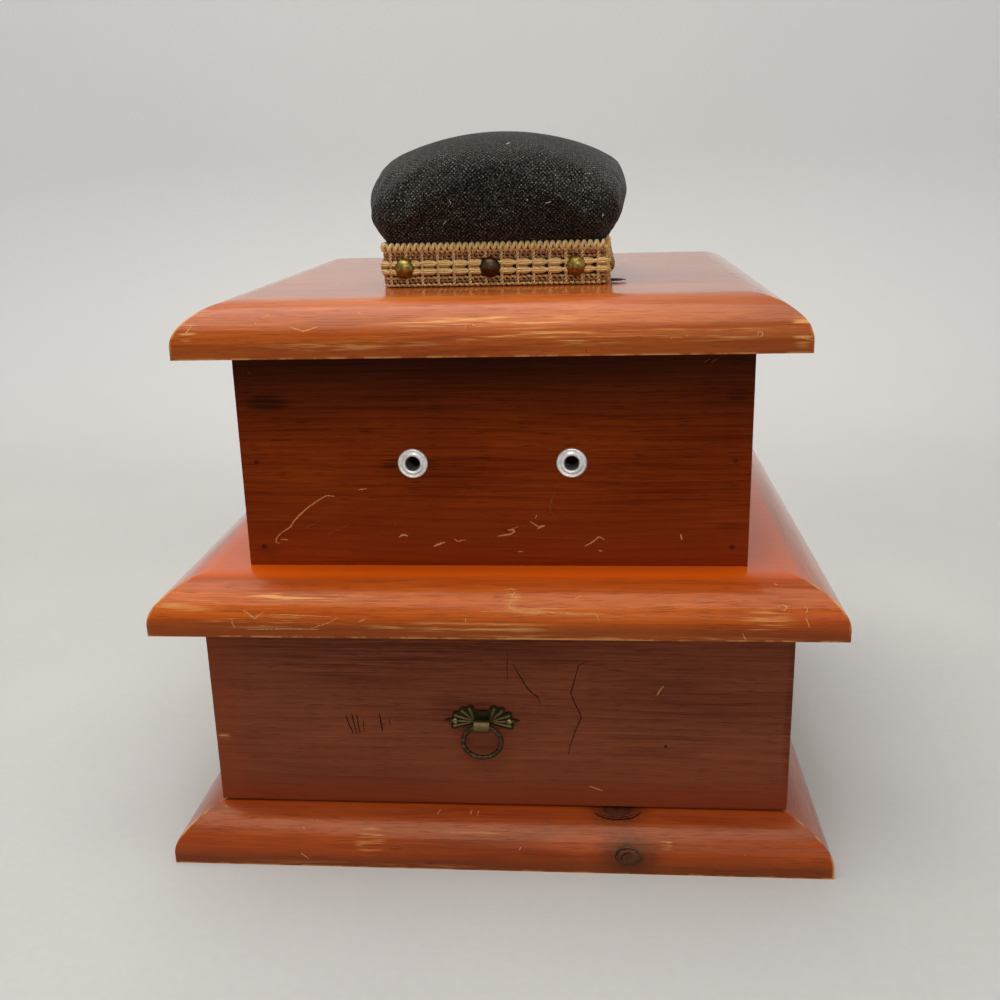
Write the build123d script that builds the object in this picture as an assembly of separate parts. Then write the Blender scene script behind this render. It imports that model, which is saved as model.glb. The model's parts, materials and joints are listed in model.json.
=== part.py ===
from build123d import *
import math
import os

# A two-tier wooden sewing box. Lengths are in millimetres and angles in degrees.
# The origin is the middle of the footprint on the table. +X is to the right of
# someone facing the drawer, -Y is the front and +Z is up.

# ---- Boards -----------------------------------------------------------------
plate_thickness = 15.0  # base, shelf and lid are cut from the same board
edge_lip = 3.3  # square lip left below the rounded edge
edge_run = 16.0  # how far in the rounded edge reaches
edge_tight_radius = 8.5  # the edge bends tightly above the lip and gently further in
plate_width = 203.2  # base and shelf
plate_depth = 190.5
lower_inset = 12.7  # drawer case, in from the edge of the plates all round
lower_height = 62.4
upper_width = 150.4  # spool case on the shelf
upper_depth = 149.0
upper_height = 65.2
wall = 9.5  # boards of both cases
lid_overhang = 13.2
lid_gap = 0.3  # between the closed lid and the walls

# ---- Drawer -----------------------------------------------------------------
front_thickness = 9.5
front_gap = 0.6  # above and below the drawer front
closed_gap = 0.3  # between the closed drawer front and the case
drawer_side_gap = 0.6
drawer_back_gap = 1.5
running_gap = 0.3  # under the drawer sides
drawer_side_thickness = 6.4
drawer_side_height = 54.0
dado_depth = 3.2  # the sides are let into the back of the front
bottom_thickness = 3.2
bottom_rise = 5.0  # groove above the lower edge of the sides
groove_depth = 3.0
groove_slack = 0.1

# ---- Ring pull --------------------------------------------------------------
pull_x = -4.4  # fitted by hand, a little left of the middle
pull_z = 44.0  # height of the ring's pivot
sheet = 0.7  # stamped brass
ring_width = 13.2
ring_height = 12.2
ring_side_radius = 4.6  # bend at the two sides of the oval
wire_radius = 0.72
knuckle_length = 4.7
knuckle_slack = 0.1  # between the ring and the bore of its knuckle
knuckle_sink = 0.3  # how far the knuckle merges with the sheet
hub_x = 2.2  # the leaves spread from two hubs beside the knuckle
hub_z = 0.6
hub_radius = 0.7
leaf_angles = (70, 43, 19, -13)
leaf_lengths = (5.5, 6.3, 7.4, 7.7)
leaf_end_radii = (1.3, 1.3, 1.2, 1.1)
tip_angle = 2.0
tip_length = 9.3
tip_shoulder = 5.6  # from the hub to the widest part of the pointed tip
tip_half_width = 1.2
rib_root_radius = 0.3
rib_end_radius = 0.55
rib_inset = 0.45  # from the rib's end to the rim of its leaf
centre_half_width = 2.6
centre_top = 4.3
centre_bottom = 0.4
pull_nail_x = 8.3
pull_nail_z = 0.7
pull_nail_radius = 0.5
pull_nail_length = 6.5
pull_nail_head_radius = 0.95
pull_nail_head_height = 0.6

# ---- Thread eyelets and spool pegs ------------------------------------------
eyelet_spacing = 46.8  # between the two eyelets of a wall
eyelet_rise = 32.0  # above the shelf
eyelet_bore_radius = 2.2
eyelet_barrel_wall = 0.6
eyelet_barrel_length = 7.0
eyelet_flange_radius = 4.5
eyelet_flange_height = 0.9
eyelet_crest_radius = 3.0  # top of the inner roll
eyelet_groove_radius = 3.45
eyelet_groove_depth = 0.35  # between the two rolls of the flange
eyelet_rim_radius = 4.05  # top of the outer roll, half as deep below the inner one
peg_setback = 22.0  # from the wall's inner face
peg_radius = 3.0
peg_height = 48.0
peg_tenon_radius = 2.4  # turned down below the shoulder that stands on the shelf
peg_seat = 8.0  # tenon let into the shelf
peg_tip_round = 1.6

# ---- Lid hinges -------------------------------------------------------------
hinge_x = 45.0
hinge_length = 25.0
hinge_knuckles = 3
hinge_leaf_width = 9.5
hinge_leaf = 1.0
hinge_barrel_radius = 2.0
hinge_pin_radius = 1.0
hinge_play = 0.05  # pin in its knuckles
hinge_gap = 0.2  # barrel to wood, and knuckle to knuckle
hinge_screw_x = 7.5
hinge_screw_reach = 6.0  # from the hinge axis
hinge_screw = dict(length=8.0, shank=0.9, head=1.8, head_height=0.8)

# ---- Other fasteners --------------------------------------------------------
pilot_slack = 0.05  # fasteners in their holes
tip_slack = 0.5  # below the end of a fastener or tenon
slot_share = 0.25  # width and depth of a screw's slot, to its head's radius and height
base_screw = dict(length=28.0, shank=1.75, head=3.5, head_height=2.2)
base_screw_recess = 0.4
base_screw_y = 48.0
base_screw_back_x = 45.0
brad_radius = 0.75
brad_length = 22.0
brad_recess = 0.2
brad_low = 6.0  # from each end of the front board
brad_rows = 3

# ---- Pincushion -------------------------------------------------------------
cushion_y = -14.0  # glued nearer to the front of the lid
block_half = 32.4
block_height = 10.0
braid_height = 13.2
braid_thickness = 1.2
braid_slack = 0.1
braid_corner = 1.6
cord_radius = 0.7  # two parallel cords along the braid
cord_heights = (4.6, 7.0)
cord_corner = 2.2
pad_height = 35.6  # crown above the block
pad_crown_radius = 84.0
pad_shoulder_radius = 7.0
# Height above the block, half width and corner radius up the sides of the stuffed pad
pad_sections = (
    (0.0, 31.2, 5.0),
    (3.3, 31.9, 6.0),
    (5.4, 34.9, 8.5),
    (10.0, 38.4, 12.0),
    (17.0, 41.6, 16.5),
    (24.0, 40.6, 18.0),
    (30.0, 37.2, 17.0),
    (37.0, 31.5, 16.0),
)
tack_spacing = 26.0
tack_row_shift = -1.4  # each row sits a little off the middle of its side
tacks_per_side = 3
tack_rise = 5.8
tack_head_radius = 3.15
tack_head_height = 2.0
tack_shank_radius = 0.7
tack_shank_length = 9.0


# ---- Levels, faces and radii worked out from the sizes above -------------------
def gentle_radius(run, rise, tight):
    """Radius of the arc that ends a quarter oval which starts with a tighter arc."""
    return (run**2 + rise**2 - 2 * run * tight) / (2 * (rise - tight))


base_top = plate_thickness
shelf_bottom = base_top + lower_height
shelf_top = shelf_bottom + plate_thickness
upper_top = shelf_top + upper_height
lid_bottom = upper_top + lid_gap
lid_top = lid_bottom + plate_thickness
lower_width = plate_width - 2 * lower_inset
lower_depth = plate_depth - 2 * lower_inset
lower_front = -lower_depth / 2
upper_back = upper_depth / 2
drawer_half_width = lower_width / 2 - wall - drawer_side_gap
drawer_floor = base_top + running_gap
drawer_back = lower_depth / 2 - wall - drawer_back_gap
front_inner = lower_front + front_thickness
knuckle_drop = ring_height / 2 - wire_radius
side_reach = ring_width / 2 - wire_radius - ring_side_radius
ring_top_radius = gentle_radius(ring_width / 2 - wire_radius, knuckle_drop, ring_side_radius)
knuckle_sag = ring_top_radius - math.sqrt(ring_top_radius**2 - (knuckle_length / 2) ** 2)
knuckle_bore = wire_radius + knuckle_sag + knuckle_slack
knuckle_radius = knuckle_bore + sheet
pivot_out = sheet + knuckle_radius - knuckle_sink
hinge_axis_y = upper_back + hinge_gap + hinge_barrel_radius
hinge_axis_z = lid_bottom - hinge_gap - hinge_barrel_radius
braid_inner = block_half + braid_slack
braid_outer = braid_inner + braid_thickness


# ---- Shapes used more than once ---------------------------------------------
def board(x, y, z):
    """Square-edged board between the low and high ends of each axis."""
    sizes = [high - low for low, high in (x, y, z)]
    middle = [(high + low) / 2 for low, high in (x, y, z)]
    return Pos(*middle) * Box(*sizes)


def rod(start, direction, length, radius):
    """Round bar from a start point along a direction."""
    bar = Cylinder(radius, length, align=(Align.CENTER, Align.CENTER, Align.MIN))
    return Plane(origin=start, z_dir=direction) * bar


def turned(points, start, direction):
    """Solid turned from an outline of (radius, height) points about a line."""
    outline = make_face(Polyline(*[(radius, 0, height) for radius, height in points], close=True))
    return Plane(origin=start, z_dir=direction) * revolve(outline, Axis.Z)


def screw(spot, outward, length, shank, head, head_height, slack=0.0, end=0.0):
    """Countersunk screw with its head at the spot, or its hole when slack is given."""
    points = [
        (0, 0),
        (head + slack, 0),
        (shank + slack, -head_height),
        (shank + slack, -length - end),
        (0, -length - end),
    ]
    return turned(points, spot, outward)


def screw_and_hole(spot, outward, recess, size):
    """A slotted screw, and the hole that it leaves in the boards that it joins."""
    head_spot = tuple(a - recess * b for a, b in zip(spot, outward))
    body = screw(head_spot, outward, **size)
    slot = Box(2 * size["head"], slot_share * size["head"], 2 * slot_share * size["head_height"])
    body -= Plane(origin=head_spot, z_dir=outward) * slot
    hole = screw(head_spot, outward, **size, slack=pilot_slack, end=tip_slack)
    hole += rod(head_spot, outward, recess + size["head"], size["head"] + pilot_slack)
    return body, hole


def edge_profile(span):
    """Section of a moulded board: square lip, a tight arc, then a gentle arc to the flat."""
    half = span / 2
    flat = half - edge_run
    rise = plate_thickness - edge_lip
    gentle = gentle_radius(edge_run, rise, edge_tight_radius)
    turn = math.degrees(math.atan2(rise - gentle, edge_run - edge_tight_radius))
    tight_x = half - edge_tight_radius
    gentle_z = plate_thickness - gentle
    right = [
        CenterArc((tight_x, edge_lip), edge_tight_radius, 0, -turn),
        CenterArc((flat, gentle_z), gentle, -turn, 90 + turn),
    ]
    left = [
        CenterArc((-flat, gentle_z), gentle, 90, 90 + turn),
        CenterArc((-tight_x, edge_lip), edge_tight_radius, 180 + turn, -turn),
    ]
    outline = [
        Line((-half, edge_lip), (-half, 0)),
        Line((-half, 0), (half, 0)),
        Line((half, 0), (half, edge_lip)),
        *right,
        Line((flat, plate_thickness), (-flat, plate_thickness)),
        *left,
    ]
    return make_face(outline)


def moulded_plate(width, depth, bottom):
    """Board with the same moulding run along all four edges, mitred at the corners."""
    ends = extrude(Plane.XZ * edge_profile(width), depth / 2, both=True)
    sides = extrude(Plane.YZ * edge_profile(depth), width / 2, both=True)
    return Pos(0, 0, bottom) * (ends & sides)


# ---- Eyelets and pegs: where each pair goes -----------------------------------
def thread_ports():
    """Name, spot on the wall's outer face, outward direction and peg foot of each port."""
    walls = (
        ("front", (0, -1, 0), upper_depth / 2, ("left", "right")),
        ("left", (-1, 0, 0), upper_width / 2, ("front", "back")),
        ("right", (1, 0, 0), upper_width / 2, ("front", "back")),
    )
    ports = []
    for wall_name, outward, reach, ends in walls:
        for end_name, along in zip(ends, (-eyelet_spacing / 2, eyelet_spacing / 2)):
            name = wall_name + "_" + end_name
            peg_reach = reach - wall - peg_setback
            if outward[0] == 0:
                spot = (along, outward[1] * reach, shelf_top + eyelet_rise)
                foot = (along, outward[1] * peg_reach, shelf_top)
            else:
                spot = (outward[0] * reach, along, shelf_top + eyelet_rise)
                foot = (outward[0] * peg_reach, along, shelf_top)
            ports.append((name, wall_name, spot, outward, foot))
    return ports


def eyelet(spot, outward):
    """Rolled metal eyelet: a barrel through the wall and a flange of two rolls."""
    bore = eyelet_bore_radius
    barrel = bore + eyelet_barrel_wall
    crest = eyelet_crest_radius
    rim = eyelet_rim_radius
    flange = eyelet_flange_radius
    end = -eyelet_barrel_length
    top = eyelet_flange_height
    low = top - eyelet_groove_depth
    outer_top = top - eyelet_groove_depth / 2
    diagonal = math.sqrt(0.5)
    inner_roll = (crest - (crest - bore) * diagonal, 0, low + (top - low) * diagonal)
    outer_roll = (rim + (flange - rim) * diagonal, 0, outer_top * diagonal)
    outline = [
        Line((bore, 0, end), (bore, 0, low)),
        ThreePointArc((bore, 0, low), inner_roll, (crest, 0, top)),
        Line((crest, 0, top), (eyelet_groove_radius, 0, low)),
        Line((eyelet_groove_radius, 0, low), (rim, 0, outer_top)),
        ThreePointArc((rim, 0, outer_top), outer_roll, (flange, 0, 0)),
        Line((flange, 0, 0), (barrel, 0, 0)),
        Line((barrel, 0, 0), (barrel, 0, end)),
        Line((barrel, 0, end), (bore, 0, end)),
    ]
    return Plane(origin=spot, z_dir=outward) * revolve(make_face(outline), Axis.Z)


def spool_peg(foot):
    """Dowel standing on the shelf, with a rounded tip and a tenon let into the shelf."""
    peg = rod(foot, (0, 0, 1), peg_height, peg_radius)
    tip = peg.faces().sort_by(Axis.Z)[-1]
    return fillet(tip.edges(), peg_tip_round) + rod(foot, (0, 0, -1), peg_seat, peg_tenon_radius)


# ---- Fasteners: where each group goes ------------------------------------------
def base_screws():
    """Screws up through the base into the sides and the back of the lower case."""
    side_x = lower_width / 2 - wall / 2
    back_y = lower_depth / 2 - wall / 2
    spots = [(x, y, 0) for x in (-side_x, side_x) for y in (-base_screw_y, base_screw_y)]
    spots += [(x, back_y, 0) for x in (-base_screw_back_x, base_screw_back_x)]
    return [screw_and_hole(spot, (0, 0, -1), base_screw_recess, base_screw) for spot in spots]


def front_brads():
    """Brads through the ends of the upper front into the side boards."""
    x = upper_width / 2 - wall / 2
    step = (upper_height - 2 * brad_low) / (brad_rows - 1)
    pairs = []
    for side in (-x, x):
        for row in range(brad_rows):
            z = shelf_top + brad_low + row * step
            outer = (side, -upper_depth / 2, z)
            head = (side, -upper_depth / 2 + brad_recess, z)
            hole_length = brad_recess + brad_length + tip_slack
            hole = rod(outer, (0, 1, 0), hole_length, brad_radius + pilot_slack)
            pairs.append((rod(head, (0, 1, 0), brad_length, brad_radius), hole))
    return pairs


def hinge_screws(on_lid):
    """Screws of both hinges, into the back wall or up into the lid."""
    pairs = []
    for centre in (-hinge_x, hinge_x):
        for offset in (-hinge_screw_x, hinge_screw_x):
            if on_lid:
                spot = (centre + offset, hinge_axis_y + hinge_screw_reach, lid_bottom - hinge_leaf)
                outward = (0, 0, -1)
            else:
                spot = (centre + offset, upper_back + hinge_leaf, hinge_axis_z - hinge_screw_reach)
                outward = (0, 1, 0)
            pairs.append(screw_and_hole(spot, outward, 0.0, hinge_screw))
    return pairs


def bodies_of(pairs):
    """The solids of the pairs' fasteners, without their holes."""
    return Compound([solid for body, _ in pairs for solid in body.solids()])


def drill(piece, pairs):
    """A piece with the pairs' holes cut out of it."""
    for _, hole in pairs:
        piece -= hole
    return piece


# ---- Lower case ----------------------------------------------------------------
def lower_case(screws):
    """Base plate, two sides and the back. The drawer front closes the open side."""
    half = lower_width / 2
    side_y = (front_inner + closed_gap, lower_depth / 2)
    height = (base_top, shelf_bottom)
    back_y = (lower_depth / 2 - wall, lower_depth / 2)
    return {
        "base_plate": drill(moulded_plate(plate_width, plate_depth, 0), screws),
        "lower_left_side": drill(board((-half, -half + wall), side_y, height), screws),
        "lower_right_side": drill(board((half - wall, half), side_y, height), screws),
        "lower_back": drill(board((-half + wall, half - wall), back_y, height), screws),
    }


# ---- Upper case ----------------------------------------------------------------
def upper_case(ports, brads, case_screws):
    """Shelf and four walls. The front and the back cover the ends of the sides."""
    half = upper_width / 2
    deep = upper_depth / 2
    height = (shelf_top, upper_top)
    inner_y = (-deep + wall, deep - wall)
    shelf = moulded_plate(plate_width, plate_depth, shelf_bottom)
    walls = {
        "front": board((-half, half), (-deep, -deep + wall), height),
        "left": board((-half, -half + wall), inner_y, height),
        "right": board((half - wall, half), inner_y, height),
    }
    hole_radius = eyelet_bore_radius + eyelet_barrel_wall + pilot_slack
    for _, wall_name, spot, outward, foot in ports:
        inward = tuple(-a for a in outward)
        walls[wall_name] -= rod(spot, inward, wall, hole_radius)
        shelf -= rod(foot, (0, 0, -1), peg_seat + tip_slack, peg_tenon_radius + pilot_slack)
    return {
        "shelf_plate": shelf,
        "upper_front": drill(walls["front"], brads),
        "upper_left_side": drill(walls["left"], brads),
        "upper_right_side": drill(walls["right"], brads),
        "upper_back": drill(board((-half, half), (deep - wall, deep), height), case_screws),
    }


# ---- Drawer ----------------------------------------------------------------------
def drawer(nails):
    """Overlay front with dadoed sides, and a thin bottom held in grooves."""
    outer = drawer_half_width
    inner = outer - drawer_side_thickness
    side_y = (front_inner - dado_depth, drawer_back)
    side_z = (drawer_floor, drawer_floor + drawer_side_height)
    front = board(
        (-lower_width / 2, lower_width / 2),
        (lower_front, front_inner),
        (base_top + front_gap, shelf_bottom - front_gap),
    )
    left = board((-outer, -inner), side_y, side_z)
    right = board((inner, outer), side_y, side_z)
    back_y = (drawer_back - drawer_side_thickness, drawer_back)
    back = board((-inner, inner), back_y, side_z)
    groove_z = (drawer_floor + bottom_rise, drawer_floor + bottom_rise + bottom_thickness)
    groove = board(
        (-inner - groove_depth, inner + groove_depth),
        (front_inner - groove_depth, back_y[0] + groove_depth),
        (groove_z[0], groove_z[1] + groove_slack),
    )
    bottom = board(
        (-inner - groove_depth + groove_slack, inner + groove_depth - groove_slack),
        (front_inner - groove_depth + groove_slack, back_y[0] + groove_depth - groove_slack),
        groove_z,
    )
    front = drill(front - left - right - groove, nails)
    return {
        "drawer_front": front,
        "drawer_left_side": left - groove,
        "drawer_right_side": right - groove,
        "drawer_back": back - groove,
        "drawer_bottom": bottom,
    }


# ---- Ring pull -------------------------------------------------------------------
def pull_plane():
    """Drawing plane on the drawer front, with its origin behind the ring's pivot."""
    return Plane(origin=(pull_x, lower_front, pull_z), x_dir=(1, 0, 0), z_dir=(0, -1, 0))


def leaf(angle, length, end_radius):
    """One leaf of the stamped plate, as the hull of its root and its round end."""
    end = Pos(length - end_radius, 0) * Circle(end_radius)
    outline = make_hull(Circle(hub_radius).edges() + end.edges())
    return Pos(hub_x, hub_z) * Rot(0, 0, angle) * outline


def leaf_rib(angle, length):
    """Raised rib along a leaf: a slim cone that ends in a ball."""
    reach = length - rib_end_radius - rib_inset
    cone = Cone(rib_root_radius, rib_end_radius, reach, align=(Align.CENTER, Align.CENTER, Align.MIN))
    rib = Rot(0, 90, 0) * (cone + Pos(0, 0, reach) * Sphere(rib_end_radius))
    return Pos(hub_x, hub_z, sheet) * Rot(0, 0, angle) * rib


def pull_wing():
    """One fan of ribbed leaves with its pointed tip, and the seat of its nail."""
    tip = make_face(
        Polyline(
            (0, -hub_radius),
            (tip_shoulder, -tip_half_width),
            (tip_length, 0),
            (tip_shoulder, tip_half_width),
            (0, hub_radius),
            close=True,
        )
    )
    fan = Pos(hub_x, hub_z) * Rot(0, 0, tip_angle) * tip
    for angle, length, end_radius in zip(leaf_angles, leaf_lengths, leaf_end_radii):
        fan += leaf(angle, length, end_radius)
    wing = extrude(fan, sheet)
    for angle, length in zip(leaf_angles, leaf_lengths):
        wing += leaf_rib(angle, length)
    wing += leaf_rib(tip_angle, tip_length - tip_half_width)
    seat_radius = pull_nail_head_radius + pilot_slack
    wing -= rod((pull_nail_x, pull_nail_z, sheet), (0, 0, 1), sheet, seat_radius)
    return wing - rod((pull_nail_x, pull_nail_z, 0), (0, 0, 1), sheet, pull_nail_radius + pilot_slack)


def pull_backplate():
    """Stamped plate: two fans, the middle between them, and the knuckle."""
    wing = pull_wing()
    middle_height = centre_top - centre_bottom
    middle = Pos(0, centre_bottom + middle_height / 2) * Rectangle(2 * centre_half_width, middle_height)
    plate = wing + mirror(wing, about=Plane.YZ) + extrude(middle, sheet)
    half = knuckle_length / 2
    plate += rod((-half, 0, pivot_out), (1, 0, 0), knuckle_length, knuckle_radius)
    plate -= rod((-knuckle_length, 0, pivot_out), (1, 0, 0), 2 * knuckle_length, knuckle_bore)
    return pull_plane() * plate


def pull_nails():
    """Round-headed nails of the plate, each with its hole in the drawer front."""
    pairs = []
    for x in (-pull_nail_x, pull_nail_x):
        spot = (pull_x + x, lower_front - sheet, pull_z + pull_nail_z)
        head = Sphere(pull_nail_head_radius) & Pos(0, 0, pull_nail_head_radius / 2) * Box(
            2 * pull_nail_head_radius, 2 * pull_nail_head_radius, pull_nail_head_radius
        )
        squash = scale(head, by=(1, 1, pull_nail_head_height / pull_nail_head_radius))
        nail = Plane(origin=spot, z_dir=(0, -1, 0)) * squash
        nail += rod(spot, (0, 1, 0), pull_nail_length, pull_nail_radius)
        hole = rod(spot, (0, 1, 0), pull_nail_length + tip_slack, pull_nail_radius + pilot_slack)
        pairs.append((nail, hole))
    return pairs


def pull_ring():
    """Oval wire ring of four tangent arcs, hanging by its top in the knuckle."""
    lean = math.degrees(math.atan2(ring_top_radius - knuckle_drop, side_reach))
    top_sweep = 180 - 2 * lean
    side_sweep = 2 * lean
    top = CenterArc((0, knuckle_drop - ring_top_radius), ring_top_radius, lean, top_sweep)
    left = CenterArc((-side_reach, 0), ring_side_radius, 180 - lean, side_sweep)
    bottom = CenterArc((0, ring_top_radius - knuckle_drop), ring_top_radius, 180 + lean, top_sweep)
    right = CenterArc((side_reach, 0), ring_side_radius, -lean, side_sweep)
    path = Wire([top, left, bottom, right])
    start = Plane(origin=path @ 0, z_dir=path % 0)
    ring = sweep(start * Circle(wire_radius), path)
    return pull_plane() * Pos(0, -knuckle_drop, pivot_out) * ring


# ---- Hinges ----------------------------------------------------------------------
def hinge_parts(centre):
    """Case leaf, lid leaf and pin of one butt hinge, closed round the back corner."""
    half = hinge_length / 2
    half_knuckle = hinge_length / hinge_knuckles / 2
    axis = (hinge_axis_y, hinge_axis_z)
    reach = hinge_barrel_radius + hinge_gap

    def knuckle(low, high, radius):
        return rod((low, *axis), (1, 0, 0), high - low, radius)

    case_leaf = board(
        (-half, half),
        (upper_back, upper_back + hinge_leaf),
        (hinge_axis_z - hinge_leaf_width, hinge_axis_z),
    )
    case_leaf -= board(
        (-half_knuckle, half_knuckle),
        (upper_back, upper_back + hinge_leaf),
        (hinge_axis_z - reach, hinge_axis_z),
    )
    case_leaf += knuckle(-half, -half_knuckle, hinge_barrel_radius)
    case_leaf += knuckle(half_knuckle, half, hinge_barrel_radius)
    lid_leaf = board(
        (-half, half),
        (hinge_axis_y, hinge_axis_y + hinge_leaf_width),
        (lid_bottom - hinge_leaf, lid_bottom),
    )
    inner = half_knuckle - hinge_gap
    for side in (-1, 1):
        ends = sorted((side * inner, side * half))
        lid_leaf -= board(
            ends,
            (hinge_axis_y, hinge_axis_y + reach),
            (lid_bottom - hinge_leaf, lid_bottom),
        )
    lid_leaf += knuckle(-inner, inner, hinge_barrel_radius)
    bore = knuckle(-half, half, hinge_pin_radius + hinge_play)
    pin = knuckle(-half, half, hinge_pin_radius)
    move = Pos(centre, 0, 0)
    return move * (case_leaf - bore), move * (lid_leaf - bore), move * pin


# ---- Lid and pincushion ------------------------------------------------------------
def tack(spot, outward):
    """Upholstery tack with a domed head, and its hole."""
    rim = tack_head_radius
    rise = tack_head_height
    dome_radius = (rim**2 + rise**2) / (2 * rise)
    dome = Pos(0, 0, rise - dome_radius) * Sphere(dome_radius)
    dome &= Pos(0, 0, rise / 2) * Box(2 * dome_radius, 2 * dome_radius, rise)
    inward = tuple(-a for a in outward)
    body = Plane(origin=spot, z_dir=outward) * dome
    body += rod(spot, inward, tack_shank_length, tack_shank_radius)
    hole = rod(spot, inward, tack_shank_length + tip_slack, tack_shank_radius + pilot_slack)
    return body, hole


def pincushion_tacks():
    """Rows of tacks round the braid, the heads resting on its cords."""
    reach = braid_outer + cord_radius
    z = lid_top + tack_rise
    pairs = []
    for outward in ((0, -1, 0), (1, 0, 0), (0, 1, 0), (-1, 0, 0)):
        for index in range(tacks_per_side):
            along = (index - (tacks_per_side - 1) / 2) * tack_spacing + tack_row_shift
            x = outward[0] * reach - outward[1] * along
            y = outward[1] * reach + outward[0] * along + cushion_y
            pairs.append(tack((x, y, z), outward))
    return pairs


def braid():
    """Gimp braid wrapped round the block: a flat band with two cords along it."""
    outer = extrude(RectangleRounded(2 * braid_outer, 2 * braid_outer, braid_corner), braid_height)
    band = outer - extrude(Rectangle(2 * braid_inner, 2 * braid_inner), braid_height)
    for height in cord_heights:
        path = Pos(0, 0, height) * RectangleRounded(2 * braid_outer, 2 * braid_outer, cord_corner)
        wire = path.wires()[0]
        start = Plane(origin=wire @ 0, z_dir=wire % 0)
        cord = sweep(start * Circle(cord_radius), wire)
        band += cord - extrude(Rectangle(2 * braid_inner, 2 * braid_inner), braid_height)
    return Pos(0, cushion_y, lid_top) * band


def pad():
    """Stuffed pad: it draws in at the braid, bulges above it and is crowned on top."""
    sections = []
    for height, half, corner in pad_sections:
        sections.append(Pos(0, 0, height) * RectangleRounded(2 * half, 2 * half, corner))
    crown = Pos(0, 0, pad_height - pad_crown_radius) * Sphere(pad_crown_radius)
    stuffed = loft(sections) & crown
    top = stuffed.faces().sort_by(Axis.Z)[-1]
    stuffed = fillet(top.edges(), pad_shoulder_radius)
    return Pos(0, cushion_y, lid_top + block_height) * stuffed


def lid_and_pincushion(lid_screws, tacks):
    """Lid plate with the pincushion on it."""
    width = upper_width + 2 * lid_overhang
    depth = upper_depth + 2 * lid_overhang
    block = board(
        (-block_half, block_half),
        (cushion_y - block_half, cushion_y + block_half),
        (lid_top, lid_top + block_height),
    )
    return {
        "lid": drill(moulded_plate(width, depth, lid_bottom), lid_screws),
        "pincushion_block": drill(block, tacks),
        "pincushion_pad": pad(),
        "pincushion_braid": drill(braid(), tacks),
        "pincushion_tacks": bodies_of(tacks),
    }


# ---- The whole box -----------------------------------------------------------------
def build():
    """Every node of the box by its name."""
    ports = thread_ports()
    screws = base_screws()
    brads = front_brads()
    case_screws = hinge_screws(on_lid=False)
    lid_screws = hinge_screws(on_lid=True)
    nails = pull_nails()
    tacks = pincushion_tacks()
    nodes = {}
    nodes.update(lower_case(screws))
    nodes.update(upper_case(ports, brads, case_screws))
    nodes["base_screws"] = bodies_of(screws)
    nodes["upper_front_brads"] = bodies_of(brads)
    for name, _, spot, outward, foot in ports:
        nodes["eyelet_" + name] = eyelet(spot, outward)
        nodes["spool_peg_" + name] = spool_peg(foot)
    nodes.update(drawer(nails))
    nodes["pull_backplate"] = pull_backplate()
    nodes["pull_nails"] = bodies_of(nails)
    nodes["pull_ring"] = pull_ring()
    for side, centre in (("left", -hinge_x), ("right", hinge_x)):
        case_leaf, lid_leaf, pin = hinge_parts(centre)
        nodes["hinge_" + side + "_case_leaf"] = drill(case_leaf, case_screws)
        nodes["hinge_" + side + "_lid_leaf"] = drill(lid_leaf, lid_screws)
        nodes["hinge_" + side + "_pin"] = pin
    nodes["hinge_case_screws"] = bodies_of(case_screws)
    nodes["hinge_lid_screws"] = bodies_of(lid_screws)
    nodes.update(lid_and_pincushion(lid_screws, tacks))
    return nodes


os.makedirs("parts", exist_ok=True)
for node, shape in build().items():
    export_step(shape, "parts/" + node + ".step")
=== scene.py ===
import json
from math import atan2, cos, degrees, exp, pi, radians, sin
from random import Random

import bpy
from mathutils import Matrix, Vector
from mathutils.bvhtree import BVHTree

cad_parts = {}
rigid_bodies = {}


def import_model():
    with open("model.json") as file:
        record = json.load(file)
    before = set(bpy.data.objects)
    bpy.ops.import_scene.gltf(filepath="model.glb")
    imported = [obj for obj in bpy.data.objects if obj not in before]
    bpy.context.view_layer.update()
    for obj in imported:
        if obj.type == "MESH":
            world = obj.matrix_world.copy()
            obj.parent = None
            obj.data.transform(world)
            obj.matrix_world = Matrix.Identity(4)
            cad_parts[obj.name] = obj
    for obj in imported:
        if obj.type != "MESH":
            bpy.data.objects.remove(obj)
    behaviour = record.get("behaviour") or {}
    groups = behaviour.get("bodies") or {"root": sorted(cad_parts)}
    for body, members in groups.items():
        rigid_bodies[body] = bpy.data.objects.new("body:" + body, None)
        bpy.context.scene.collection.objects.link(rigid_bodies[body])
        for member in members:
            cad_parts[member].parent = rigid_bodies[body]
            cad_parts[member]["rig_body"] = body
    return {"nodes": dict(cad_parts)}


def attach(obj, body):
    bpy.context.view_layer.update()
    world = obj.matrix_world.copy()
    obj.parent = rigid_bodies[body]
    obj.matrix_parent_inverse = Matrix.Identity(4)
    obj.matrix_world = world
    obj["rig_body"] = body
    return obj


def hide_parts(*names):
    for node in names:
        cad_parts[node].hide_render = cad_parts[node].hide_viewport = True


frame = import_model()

for leftover in [o for o in bpy.data.objects if "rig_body" not in o and not o.name.startswith("body:")]:
    bpy.data.objects.remove(leftover)
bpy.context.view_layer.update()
scene = bpy.context.scene

MM = 0.001  # metres; lengths are millimetres unless noted
PLATE_HALF = (101.6, 95.25)  # half width and half depth of the base and the shelf
LID_HALF = (88.4, 87.7)
SHELF_BOTTOM = 77.4
LID_BOTTOM = 157.9
LID_TOP = 172.9
UPPER_FRONT = -74.5
LOWER_FRONT = -82.55
CUSHION_Y = -14.0
FOOT_HEIGHT = 10.0  # of the braided foot of the pincushion
BRAID_HALF = 33.7
CORD_HEIGHTS = (4.75, 7.05)
BIND = 4.8  # between the binding threads
MARK_STEP = 0.3
SWELL = 0.0026  # metres that the cover drops before its simulation and may swell in it
CLOTH_FRAMES = 20
PALE_LIGHT = (0.94, 0.935, 0.92, 1)


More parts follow.
